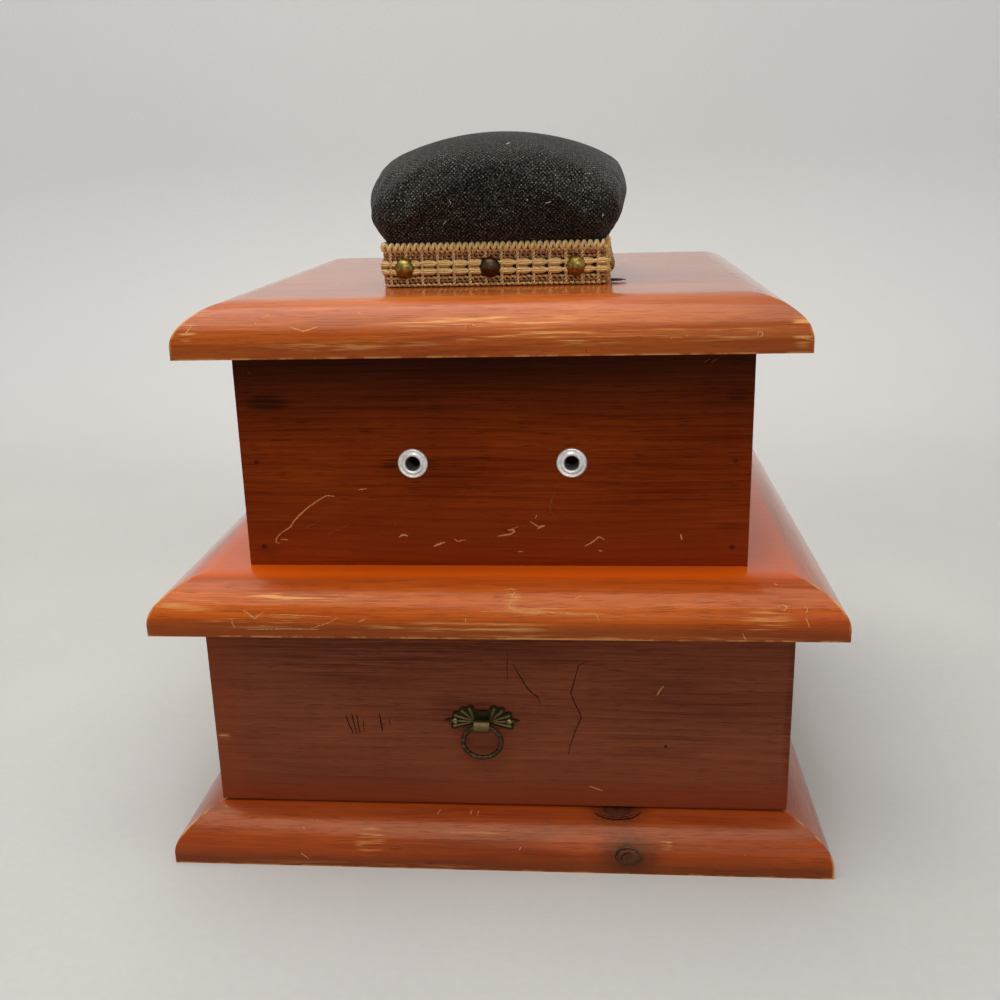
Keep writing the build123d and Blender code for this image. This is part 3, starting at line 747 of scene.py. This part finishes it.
def lint(cover):
    """A few white hairs caught on the cloth and a dark splinter beside the braid."""
    draw = Random(23).random
    graph = bpy.context.evaluated_depsgraph_get()
    tree = [BVHTree.FromObject(cover, graph)]
    shape = Shape()
    spots = ((10.4, -57.0, 197.5, 0.5), (-15.5, -55.5, 190.5, 2.4), (17.5, -57, 196.4, 2.2),
             (32.2, -50, 193.0, 0.9), (-12.5, -56, 197.8, 1.4), (5.0, -40, 216.0, 1.5),
             (-22, -10, 214, 1.8), (36, 6, 200, 1.2), (-8, 25, 202, 1.6))
    for x, y, z, length in spots:
        point = Vector((x, y, z))
        ahead = Vector((draw() - 0.5, draw() - 0.5, 0.8 * (draw() - 0.5))).normalized()
        line = []
        for _ in range(6):
            spot, normal = settle(tree, point)
            line.append(spot + normal * 0.1)
            shake = Vector([draw() - 0.5 for _ in range(3)])
            ahead = (ahead + 0.5 * shake).normalized()
            point = spot + ahead * (length / 5)
        shape.tube(line, 0.09 if length > 1 else 0.16, 4, slot=0)
    base = Vector((35.2, -40.5, LID_TOP + 0.35))
    for k in range(3):
        line = [base + Vector((0.9 * i, 0.25 * i * (k - 1) + 0.1 * sin(i * 2 + k),
                               0.5 * abs(sin(i * 1.1 + k)))) for i in range(6)]
        shape.tube(line, [0.32, 0.3, 0.26, 0.2, 0.14, 0.07], 4, slot=1)
    return shape.piece("lint_and_splinter", "lid", [white_hair, dark_chip])


# ---- Marks measured on the front, in millimetres ----
LID_MARKS = (
    (PALE, 0.5, (-54.1, -85.8, 166.5), (-50, -86.5, 165.5), (-46.1, -85.8, 166.5)),
    (PALE, 0.4, (83.4, -87.6, 162), (86.1, -87.7, 161.8), (88.2, -87.7, 161.4)),
    (PALE, 0.35, (73.7, -87.6, 162.1), (74.7, -87.5, 162.9), (74.6, -87.2, 163.8), (73.6, -87.3, 163.7),
     (73.4, -87.5, 162.7)),
    (PALE, 0.5, (-84, -86.9, 164.7), (-83, -86.2, 166), (-82.3, -85.4, 167)),
    (PALE, 0.4, (-62.4, -83.5, 168.8), (-61.5, -82.7, 169.3), (-60.5, -81.9, 169.9)),
    (PALE, 0.35, (-36.1, -81.7, 170), (-34.6, -82.4, 169.5), (-33.4, -83, 169.1)),
    (PALE, 0.3, (-64.2, -84.5, 167.8), (-63.8, -85.1, 167.3)),
    (FAINT, 0.4, (27.7, -87.7, 159.8), (27.8, -87.7, 158.7)),
    (FAINT, 0.4, (31.5, -87.7, 159.4), (32.3, -87.7, 160.3)),
    (PALE, 0.35, (-5.3, -85.8, 166.5), (-4.9, -86.5, 165.5)),
    (PALE, 0.35, (-3.9, -85.6, 166.7), (-2.2, -86, 166.2)),
    (PALE, 0.4, (54.5, -87.4, 163.2), (54.9, -87.5, 162.8)),
    (PALE, 0.4, (50.5, -87.6, 162.6), (50.8, -87.6, 162.3)),
    (PALE, 0.4, (66.4, -81.2, 170.3), (66.7, -81.7, 170)),
)
UPPER_MARKS = (
    (PALE, 0.5, (-47.6, 114.3), (-50.1, 114.5), (-52.6, 113.1), (-55.9, 110.9), (-58.6, 108.6), (-60.7, 106.4),
     (-62.1, 104.4), (-64.8, 102.8), (-66.5, 101.1), (-66.8, 99.8), (-65.7, 99.2)),
    (PALE, 0.4, (-65.3, 100.7), (-62.9, 100.5)),
    (PALE, 0.45, (-40.3, 116.3), (-37.8, 116.7)),
    (FAINT, 0.4, (-58.9, 105.1), (-57.1, 104.4), (-54.5, 105.6), (-52.5, 107.1)),
    (FAINT, 0.4, (-51.7, 99.5), (-50.7, 101.2), (-49.6, 102.8), (-46.4, 104.1), (-43.9, 105.4)),
    (FAINT, 0.3, (-30.1, 104.8), (-29.6, 106.4)),
    (FAINT, 0.3, (-35.7, 101), (-34.1, 103.5)),
    (PALE, 0.8, (-28.8, 101.4), (-27.5, 102.3), (-26, 101.8)),
    (FAINT, 0.2, (-25.4, 101.5), (-10.2, 101.4), (7.2, 101.7), (31.6, 100.6), (57.5, 100.5)),
    (PALE, 0.35, (-12.1, 100.9), (-10.9, 100.1), (-8.5, 100.7)),
    (PALE, 0.7, (-18.3, 98.4), (-17.1, 99.1), (-14.8, 99.8)),
    (PALE, 0.3, (1.2, 101.7), (4.8, 102.2), (6.4, 103.2), (4.3, 103.6), (7.3, 104.8)),
    (PALE, 0.35, (1, 101.7), (5.6, 102.7), (6.3, 103.7), (4.3, 103.9)),
    (FAINT, 0.3, (6.9, 104.4), (11.5, 105.1)),
    (PALE, 0.45, (10.9, 106.4), (13.4, 104.7), (15.3, 105.1), (13.1, 104.1)),
    (PALE, 0.3, (12.9, 108.5), (12.5, 107.2)),
    (PALE, 0.45, (27.2, 98.6), (29.5, 100), (31.3, 101.6), (33, 100.7)),
    (PALE, 0.4, (31.1, 97.3), (32.4, 97.1)),
    (PALE, 0.6, (55.4, 102.4), (55.7, 100.7)),
    (FAINT, 0.5, (18.4, 115.5), (16.8, 111.2), (17.2, 109.3), (18.3, 107.8)),
    (FAINT, 0.35, (73.7, 100.4), (75.1, 98.4)),
    (PALE, 0.4, (7.1, 96.9), (8.7, 96.8)),
    (FAINT, 0.3, (24.3, 95.5), (25.4, 94.9), (26.6, 93.5)),
    (FAINT, 0.3, (60.6, 153.3), (62.4, 154.5)),
    (FAINT, 0.3, (62.7, 153.4), (64.7, 154.6)),
)
SHELF_MARKS = (
    (PALE, 0.4, (-75.7, -94.9, 83.1), (-75.6, -95.2, 81.7), (-74.9, -95.2, 80.2)),
    (PALE, 0.45, (-72.5, -93.8, 85.4), (-70.5, -94.4, 84.3), (-68.9, -94.9, 83.2), (-66.3, -94.1, 84.9)),
    (PALE, 0.35, (-71.3, -95.2, 79.9), (-58.5, -95.2, 80.2), (-50, -95.2, 80.1)),
    (PALE, 0.3, (-64.2, -94.4, 84.4), (-55.4, -94.5, 84.1), (-46, -94.6, 83.8)),
    (PALE, 0.3, (-52.6, -95.2, 80.2), (-46.6, -95.1, 82.3), (-44.2, -94.7, 83.6)),
    (PALE, 0.4, (-38.2, -95, 82.5), (-36, -94.8, 83.3)),
    (PALE, 0.4, (-7.1, -94.7, 83.5), (-6.9, -95.1, 82.4)),
    (PALE, 0.5, (4.2, -88.4, 90), (5.8, -88, 90.2), (7.5, -88.4, 90)),
    (PALE, 0.55, (6.8, -89.1, 89.6), (6, -91, 88.2), (5.4, -93.2, 86.3)),
    (PALE, 0.5, (5.4, -89.4, 89.4), (6.3, -91.3, 88), (6.8, -92.7, 86.8)),
    (PALE, 0.35, (7.7, -93.9, 85.3), (17.3, -93.9, 85.3), (28.7, -94.2, 84.9)),
    (PALE, 0.3, (-2.8, -93.8, 85.4), (2.9, -93.7, 85.6), (14.4, -93.7, 85.5)),
    (PALE, 0.45, (30, -93.9, 85.3), (30.7, -94.3, 84.5), (31.3, -94.9, 83.1)),
    (PALE, 0.5, (24.4, -90.8, 88.4), (26.1, -90.1, 88.9)),
    (PALE, 0.4, (81, -85.6, 91.3), (82.4, -86.2, 91.1)),
    (PALE, 0.4, (81.5, -92.5, 86.9), (82.6, -92, 87.4), (84, -92.4, 87), (83.3, -93.2, 86.1), (82, -93.2, 86.3)),
    (PALE, 0.4, (89, -94.4, 84.4), (89.5, -94.8, 83.4), (90, -95.2, 81.8)),
    (PALE, 0.35, (88.7, -92.3, 87.1), (89.7, -92.9, 86.5), (89.1, -93.6, 85.6)),
    (PALE, 0.35, (71.6, -95.2, 79.9), (72, -95.2, 78.8), (72.7, -95.2, 77.8)),
    (PALE, 0.4, (-48.4, -79.7, 92.4), (-46.1, -79.2, 92.4)),
    (FAINT, 0.4, (-24.7, -95.2, 78.8), (-24.2, -95.2, 77.6)),
)
DRAWER_MARKS = (
    (DARK, 0.45, (5.5, 63.6), (7.2, 60.2), (9.2, 56.4), (10.9, 54.3), (12.6, 53), (13.6, 50.3)),
    (DIM, 0.35, (3.9, 67.7), (3.6, 63.1), (3.7, 58.6)),
    (DARK, 0.42, (28, 65), (25.2, 63.5), (24.2, 59.7), (22.8, 54.3), (23.8, 51.2), (25.5, 47.8), (25.8, 45.8),
     (24.1, 41.5), (22.7, 37.1), (21.9, 33.6)),
    (DARK, 0.5, (-47, 45.8), (-46.2, 42.7), (-45, 39.4)),
    (DARK, 0.5, (-45.2, 46.6), (-44.6, 43.4), (-44, 39.5)),
    (DARK, 0.5, (-43.6, 46.1), (-43.3, 43.5), (-42.9, 39.9)),
    (DIM, 0.4, (-41.6, 44.8), (-41.5, 40.3)),
    (DARK, 0.6, (-36.4, 46.7), (-36.1, 43.6), (-35.7, 40.4)),
    (DIM, 0.4, (-33.4, 44.9), (-33.2, 42.3)),
    (FAINT, 0.5, (-89, 39.8), (-87.7, 39.5), (-85.5, 39.5)),
    (PALE, 0.45, (50.7, 57), (49.6, 55.7), (48.7, 53.9)),
    (FAINT, 0.45, (48.7, 53.9), (47.3, 52.4), (46.3, 50.8)),
    (PALE, 0.4, (28.3, 22.5), (30.4, 21.7), (32.5, 20.9)),
    (FAINT, 0.35, (4, 25.2), (5.2, 23.1), (6.4, 20.8)),
    (FAINT, 0.35, (9.7, 21.7), (11.8, 21.5)),
    (FAINT, 0.3, (-1.1, 24.4), (-0.4, 23.8)),
    (DARK, 0.9, (51.3, 37.1), (52, 36.4)),
    (FAINT, 0.35, (-34, 24), (-33.4, 23.3)),
    (FAINT, 0.35, (-44, 37), (-43.4, 37)),
)
BASE_MARKS = (
    (PALE, 0.35, (-19.3, -86.4, 13.6), (-18.8, -85.4, 13.9), (-18.2, -84.4, 14.3)),
    (PALE, 0.35, (-8.7, -86.1, 13.7), (-8.6, -85.1, 14), (-8.4, -84.1, 14.3)),
    (PALE, 0.35, (-6.7, -86.5, 13.6), (-6.4, -85.4, 13.9), (-6.3, -84.5, 14.3)),
    (PALE, 0.4, (-61.1, -95.1, 4.6), (-60, -95.2, 3.7), (-58.8, -95.2, 2.6)),
    (FAINT, 0.4, (-85.3, -94.1, 7.5), (-84.5, -94.4, 7), (-83.6, -93.9, 7.8)),
    (PALE, 0.3, (-87.6, -84.5, 14.2), (-87, -85.5, 13.9)),
    (PALE, 0.35, (-57.1, -88.8, 12.4), (-56.7, -88.9, 12.3)),
    (PALE, 0.35, (-61.1, -90.8, 11), (-60.6, -91.1, 10.8)),
    (FAINT, 0.35, (-55.7, -95.2, 3.7), (-54.2, -95.2, 4.2), (-52.7, -95.2, 3.6)),
    (PALE, 0.35, (6.8, -94.5, 6.9), (7.1, -94.2, 7.3), (7.5, -93.9, 7.8)),
    (PALE, 0.35, (74.8, -94.4, 7), (75.1, -94.4, 6.9)),
    (DARK, 0.7, (29.8, -84.3, 14.3), (31, -85.4, 14), (32.9, -86.1, 13.7), (35, -86.6, 13.5), (37.1, -86.7, 13.4),
     (39.3, -86.5, 13.5), (41.3, -86.1, 13.7), (43.1, -85.1, 14), (44.5, -83.8, 14.4)),
    (DIM, 0.5, (30.9, -84.7, 14.2), (33.5, -85.6, 13.9), (36.9, -86, 13.7), (40.3, -85.5, 13.9), (43.1, -84.4, 14.3)),
    (DARK, 0.5, (36.7, -95.1, 4.5), (36.3, -94.8, 5.9), (36.9, -94.3, 7.1), (38.2, -93.9, 7.8), (40.1, -93.8, 8),
     (41.9, -94, 7.7), (43.2, -94.4, 7)),
    (DARK, 0.5, (38.2, -95.1, 4.7), (38.1, -94.8, 5.9), (39.1, -94.5, 6.8), (40.7, -94.4, 7)),
    (FAINT, 0.3, (37.3, -94.5, 6.7), (38.8, -94.2, 7.4), (40.7, -94.1, 7.6), (42.5, -94.3, 7.1)),
)


def facing(lines, y):
    """Marks given as x and z on an upright front, as points."""
    return [(shade, width, *((x, y, z) for x, z in line)) for shade, width, *line in lines]


# ---- Materials ----
mark_materials = [
    scraped("scratch_pale", (190, 116, 62), (222, 160, 104)),
    scraped("scratch_faint", (112, 50, 24), (144, 74, 38)),
    scraped("crack_dark", (32, 15, 10), (50, 24, 15)),
    scraped("crack_dim", (58, 27, 18), (78, 38, 26)),
]
gold = thread("gold_thread", (136, 100, 44), (222, 186, 108), (252, 230, 164))
pale_gold = thread("pale_gold_thread", (186, 146, 76), (248, 218, 142), (255, 244, 190))
pink_gold = thread("pink_gold_thread", (176, 128, 84), (238, 200, 146), (252, 230, 186))
rust = thread("rust_thread", (90, 44, 22), (160, 98, 52), (214, 160, 96))
# Dark brown for the sheet behind the braid threads, painted shade in the gaps between them.
gap_shade_backing = thread("gap_shade_backing", (26, 13, 7), (46, 26, 13), (76, 48, 24), (1.5, 1.5, 1.5), 0.85)
white_hair = thread("white_hair", (200, 200, 196), (226, 226, 222), (240, 240, 238))
dark_chip = thread("dark_chip", (30, 14, 10), (48, 24, 18), (70, 36, 26))
cloth_weave = plain_weave("charcoal_weave")

base_wood = wood(
    "base_wood", "x", PLATE_TONES, (0, 30, -80), 3.4, 2.0,
    bare=(("z", False, 0.25, 0.05),),
    patches=(((-39.5, -93.4, 8.6), (6, 5, 6), 0.6), ((0, -92.5, 11), (42, 3, 1.2), 0.3),
             ((51.6, -92.7, 9.4), (2.5, 3, 2.5), 0.9), ((-40, -95, 1), (50, 3, 1.5), 0.3)),
    knots=(((40.3, -94.6, 6.0), 4.2), ((37.0, -82.6, 15.0), 4.4)),
    # Bands: a lighter top strip, painted light, and a darker lower front, painted shade.
    bands=(("z", 14.0, 15.0, (196, 86, 20), 0.5), ("z", 6.0, 2.0, (92, 40, 18), 0.5)),
    plate=(*PLATE_HALF, 0.0),
    **POLISH,
)
shelf_wood = wood(
    "shelf_wood", "x", ((104, 34, 3), (178, 70, 9), (210, 100, 20)), (0, 60, 160), 3.2, 31.0,
    patches=(((-56, -91.2, 88.6), (26, 2.6, 1.7), 1.0), ((17.3, -93.8, 85.4), (22, 2.5, 1.3), 0.8),
             ((-62, -95, 82), (26, 3, 2.5), 0.75), ((6.3, -91.3, 88.5), (3.2, 4, 5.0), 1.0),
             ((-8, -95.2, 81), (34, 3, 2.2), 0.7), ((-90, -92, 86), (14, 5, 2.5), 0.6),
             ((78, -94, 83), (10, 4, 5), 0.6), ((30, -95.25, 78), (70, 2, 1.2), 0.55),
             ((101.6, 10, 82), (3, 40, 3), 0.5), ((-101.6, -20, 84), (3, 36, 3), 0.5),
             ((-20, 95, 84), (40, 4, 2), 0.6)),
    plate=(*PLATE_HALF, SHELF_BOTTOM),
    # Bands: a bright top strip, painted light where the upper case shades it, and a darker lower moulding, painted
    # shade.
    bands=(("z", 91.4, 92.4, (236, 98, 12), 0.8), ("z", 84.5, 79.5, (104, 40, 10), 0.6)),
    **POLISH,
    bare=(("z", False, 92.2, 92.35), ("x", True, 65.9, 65.6), ("y", True, 65.2, 64.9)),
)
lid_wood = wood(
    "lid_wood", "x", ((96, 30, 4), (170, 70, 12), (210, 110, 34)), (0, -30, 90), 3.0, 57.0,
    patches=(((2, -85.5, 167.0), (36, 4, 3.2), 0.85), ((20, -87, 163.0), (36, 3, 3.0), 0.8),
             ((-83.3, -85.8, 166), (3.4, 4, 4), 1.0), ((85.5, -86, 164), (4, 6, 6), 0.9),
             ((-40, -87.2, 161.5), (40, 3, 2.2), 0.5), ((60, -87.4, 163.5), (24, 3, 2.6), 0.6),
             ((88.4, 20, 163), (3, 40, 3), 0.5), ((-88.4, 5, 164), (3, 46, 3), 0.5),
             ((10, 87.7, 164), (50, 3, 3), 0.5)),
    plate=(*LID_HALF, LID_BOTTOM),
    # Bands: a darker lower moulding, painted shade, and darkening towards the right end.
    bands=(("z", 164.0, 159.5, (128, 52, 12), 0.4), ("x", 20.0, 88.0, (124, 48, 14), 0.4)),
    **POLISH,
    bare=(("z", False, 158.1, 157.95), ("x", True, 66.0, 65.6), ("y", True, 65.3, 64.9)),
)
front_wood = wood(
    "upper_front_wood", "x", UPPER_TONES, (0, -40, 30), 2.7, 83.0,
    bare=(("y", False, -65.06, -65.01),),
    # Dark smears in the stain, and, last, a painted shade line along the foot of the board where it meets the shelf.
    smears_and_shade=(((-66, -74.5, 143), (9, 4, 3.5), 0.9), ((-70, -74.5, 97.5), (6, 4, 2.2), 0.8),
            ((-29.5, -74.5, 124.3), (5, 4, 2.8), 0.8), ((-18.5, -74.5, 124.0), (4, 4, 2.4), 0.6),
            ((70.8, -74.5, 144), (5, 4, 2.4), 0.75), ((69.2, -74.5, 104.4), (6, 4, 2.4), 0.85),
            ((23.4, -74.5, 124.0), (5.4, 4, 5.4), 0.55), ((0, -74.5, 93), (80, 3, 1.6), 0.5)),
    # The bands paint the lid's shadow on the board: near black at the top, lighter low down where it fades.
    bands=(("z", 128.0, 158.0, (24, 6, 1), 0.85), ("z", 118.0, 98.0, (150, 54, 8), 0.5)),
)
side_wood = wood(
    "upper_side_wood", "y", UPPER_TONES, (-20, 0, 60), 2.9, 11.0,
    bare=(("x", True, 65.76, 65.71),),
    patches=(((75.2, -64, 95), (2, 6, 2), 0.8), ((-75.2, 40, 150), (2, 16, 2), 0.5)),
)
back_wood = wood(
    "upper_back_wood", "x", UPPER_TONES, (0, 50, 40), 2.9, 19.0,
    bare=(("y", False, 65.06, 65.01),),
    patches=(((-40, 74.5, 100), (24, 2, 2), 0.45), ((52, 74.5, 95.5), (16, 2, 1.2), 0.5)),
)
lower_side_wood = wood(
    "lower_side_wood", "y", LOWER_TONES, (-30, 0, -10), 3.0, 43.0,
    bare=(("x", True, 79.46, 79.41),),
    patches=(((88.9, -50, 17), (2, 22, 2), 0.6), ((-88.9, 30, 60), (2, 18, 3), 0.5)),
)
lower_back_wood = wood("lower_back_wood", "x", LOWER_TONES, (0, 60, -20), 3.0, 49.0,
                       bare=(("y", False, 73.11, 73.06),), patches=(((20, 82.5, 20), (40, 2, 3), 0.5),))
drawer_wood = wood(
    "drawer_front_wood", "x", LOWER_TONES, (0, -50, -30), 2.9, 71.0,
    bare=(("y", False, -73.11, -73.06),),
    # The first two smears darken the top of the board, a painted shadow of the shelf above; the last is painted shade
    # in the gap above the base plate; the others darken patches and the right end.
    smears_and_shade=(((-40, -82.6, 66), (40, 4, 12), 0.55), ((10, -82.6, 68), (60, 4, 9), 0.45),
            ((-10, -82.6, 48), (14, 4, 9), 0.4), ((50, -82.6, 38), (26, 4, 9), 0.35),
            ((88.9, -82.6, 45), (3, 4, 40), 0.55), ((0, -82.6, 15.6), (90, 3, 1.2), 0.6)),
    # The bands are painted reflection: a warmer lower half and an orange bottom strip from the base plate below, and
    # an orange left end, a painted sheen.
    bands=(("z", 44.0, 24.0, (136, 66, 38), 0.35), ("z", 26.0, 17.0, (140, 52, 22), 0.6),
           ("x", -76.0, -88.0, (144, 66, 34), 0.5)),
    patches=(((-86.5, -82.6, 37.5), (3, 2, 1.5), 0.7), ((-5, -82.6, 77), (80, 2, 0.6), 0.35)),
)
box_side_wood = wood("drawer_side_wood", "y", BARE_TONES, (-60, 0, 20), 3.3, 7.0, bare="all")
box_back_wood = wood("drawer_back_wood", "x", BARE_TONES, (0, 40, 70), 3.3, 27.0, bare="all")
box_bottom_wood = wood("drawer_bottom_wood", "x", BARE_TONES, (0, 20, 120), 4.6, 37.0, bare="all")
peg_wood = wood("peg_wood", "z", BARE_TONES, (10, -70, 0), 2.2, 61.0, bare="all")

eyelet_metal = metal("eyelet_metal", (176, 176, 173), (247, 247, 245), 0.34, 0.006, grime=1.0)
plate_brass = metal("plate_brass", (30, 26, 17), (104, 91, 58), 0.42, 0.05, raised=("y", -83.15, -83.75))
ring_brass = metal("ring_brass", (50, 40, 28), (112, 96, 72), 0.26, 0.004, grime=0.3)
nail_brass = metal("nail_brass", (40, 34, 18), (190, 172, 120), 0.25, 0.02)
hinge_brass = metal("hinge_brass", (132, 104, 56), (176, 143, 84), 0.34, 0.002, grime=0.35)
screw_steel = metal("screw_steel", (70, 66, 62), (170, 168, 162), 0.35, 0.03)
brad_filler = scraped("brad_filler", (84, 27, 8), (108, 38, 12), 0.55)
tack_brass = metal("tack_brass", (70, 56, 24), (172, 146, 78), 0.2, 0.01, grime=0.8,
                   dulled=(((-1.4, -50, 178.7), (9, 12, 9), (74, 60, 44)),))

finish = {
    "base_plate": base_wood, "shelf_plate": shelf_wood, "lid": lid_wood,
    "upper_front": front_wood, "upper_left_side": side_wood, "upper_right_side": side_wood, "upper_back": back_wood,
    "lower_left_side": lower_side_wood, "lower_right_side": lower_side_wood, "lower_back": lower_back_wood,
    "drawer_front": drawer_wood, "drawer_left_side": box_side_wood, "drawer_right_side": box_side_wood,
    "drawer_back": box_back_wood, "drawer_bottom": box_bottom_wood, "pincushion_block": box_back_wood,
    "pull_backplate": plate_brass, "pull_ring": ring_brass, "pull_nails": nail_brass,
    "base_screws": screw_steel, "upper_front_brads": brad_filler, "pincushion_tacks": tack_brass,
    "pincushion_pad": cloth_weave, "pincushion_braid": gap_shade_backing,
}
for node_name, node in frame["nodes"].items():
    material = finish.get(node_name)
    if material is None:
        material = {"eyelet": eyelet_metal, "spool": peg_wood, "hinge": hinge_brass}[node_name.split("_")[0]]
    node.data.materials.clear()
    node.data.materials.append(material)

# ---- Pieces ----
braid_threads = gimp()
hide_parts("pincushion_braid")
frayed_end()
cover = cushion_cover()
lint(cover)
marks("upper_front_marks", "case", ("upper_front",), facing(UPPER_MARKS, UPPER_FRONT), 1)
marks("drawer_front_marks", "drawer", ("drawer_front",), facing(DRAWER_MARKS, LOWER_FRONT), 2)
marks("lid_marks", "lid", ("lid",), LID_MARKS, 3)
marks("plate_marks", "case", ("shelf_plate", "base_plate"), SHELF_MARKS + BASE_MARKS, 4)


# ---- Table, light and camera ----
def backdrop():
    """Pale table that curves up behind the box."""
    g = Graph("pale_table", 0.9)
    cloud = g.noise(0.006, detail=3.0)
    nap = g.noise(0.35, detail=3.0)
    level = g.plus(g.times(cloud, 0.7), g.times(nap, 0.3))
    cloth = g.mix(g.band(level, 0.3, 0.7), tone(198, 196, 193), tone(204, 202, 198))
    x, y, z = g.parts(g.point)
    cloth = g.mix(g.band(y, 200.0, 900.0), cloth, tone(232, 231, 229))
    away = g.band(g.vector("LENGTH", g.vector("MULTIPLY", g.point, (1.0, 1.0, 0.6))), 520.0, 1250.0)
    path = g.add("LightPath")
    seen = g.math("MAXIMUM", path.outputs["Is Camera Ray"], path.outputs["Is Glossy Ray"])
    g.set("Base Color", g.mix(away, cloth, tone(30, 30, 30)))
    g.set("Emission Color", PALE_LIGHT)
    g.set("Emission Strength", g.times(away, g.times(seen, 0.6)))
    g.bump(nap, 0.4, 0.4)
    bend_start, bend_radius = 0.42, 0.22  # metres, like the rest of the profile
    profile = [(-6.0, 0.0), (-0.6, 0.0), (bend_start, 0.0)]
    for k in range(1, 17):
        angle = pi / 2 * k / 16
        profile.append((bend_start + bend_radius * sin(angle), bend_radius - bend_radius * cos(angle)))
    profile.append((bend_start + bend_radius, 2.2))
    points = [(x, y, z) for y, z in profile for x in (-6.0, -0.8, 0.8, 6.0)]
    faces = []
    for row in range(len(profile) - 1):
        for k in range(3):
            a = row * 4 + k
            faces.append((a, a + 1, a + 5, a + 4))
    mesh = bpy.data.meshes.new("table")
    mesh.from_pydata(points, [], faces)
    mesh.materials.append(g.material)
    smoothed(mesh)
    table = placed("table", mesh)


def lamp(name, spot, aim, size, power, colour=(1, 1, 1)):
    data = bpy.data.lights.new(name, "AREA")
    data.shape = "RECTANGLE"
    data.size, data.size_y = size
    data.energy = power
    data.color = colour
    made = placed(name, data)
    made.location = spot
    made.rotation_euler = (Vector(aim) - Vector(spot)).to_track_quat("-Z", "Y").to_euler()


def surroundings():
    """Dim, even light from all round, seen as a pale backdrop."""
    world = bpy.data.worlds.new("world")
    world.use_nodes = True
    nodes, links = world.node_tree.nodes, world.node_tree.links
    path = nodes.new("ShaderNodeLightPath")
    seen = path.outputs["Is Camera Ray"]
    for name in ("Is Glossy Ray", "Is Transmission Ray"):
        either = nodes.new("ShaderNodeMath")
        either.operation = "MAXIMUM"
        links.new(seen, either.inputs[0])
        links.new(path.outputs[name], either.inputs[1])
        seen = either.outputs[0]
    strength = nodes.new("ShaderNodeMapRange")
    strength.inputs["To Min"].default_value = 0.18
    strength.inputs["To Max"].default_value = 0.62
    links.new(seen, strength.inputs["Value"])
    background = nodes["Background"]
    background.inputs["Color"].default_value = PALE_LIGHT
    links.new(strength.outputs[0], background.inputs["Strength"])
    scene.world = world


def camera():
    """Camera fitted to the corners of the box in the photograph."""
    pitch, yaw, roll = (radians(a) for a in (16.747, -4.926, -1.5))
    ahead = Vector((sin(yaw) * cos(pitch), cos(yaw) * cos(pitch), -sin(pitch)))
    level = ahead.cross(Vector((0, 0, 1))).normalized()
    upright = level.cross(ahead)
    right = level * cos(roll) + upright * sin(roll)
    up = upright * cos(roll) - level * sin(roll)
    data = bpy.data.cameras.new("camera")
    data.sensor_width = 36.0
    data.lens = 40.003
    data.clip_start = 0.01
    made = placed("camera", data)
    spot = Vector((29.188, -388.714, 207.966)) * MM
    made.matrix_world = Matrix.Translation(spot) @ Matrix((right, up, -ahead)).transposed().to_4x4()
    scene.camera = made


backdrop()
lamp("key", (-0.15, -0.1, 1.3), (0, 0.02, 0.1), (1.5, 1.2), 19.5, (1.0, 0.99, 0.97))
lamp("fill", (0.4, -1.4, 0.9), (0, 0, 0.1), (1.2, 0.8), 3.6)
surroundings()
scene.view_settings.view_transform = "Standard"
camera()
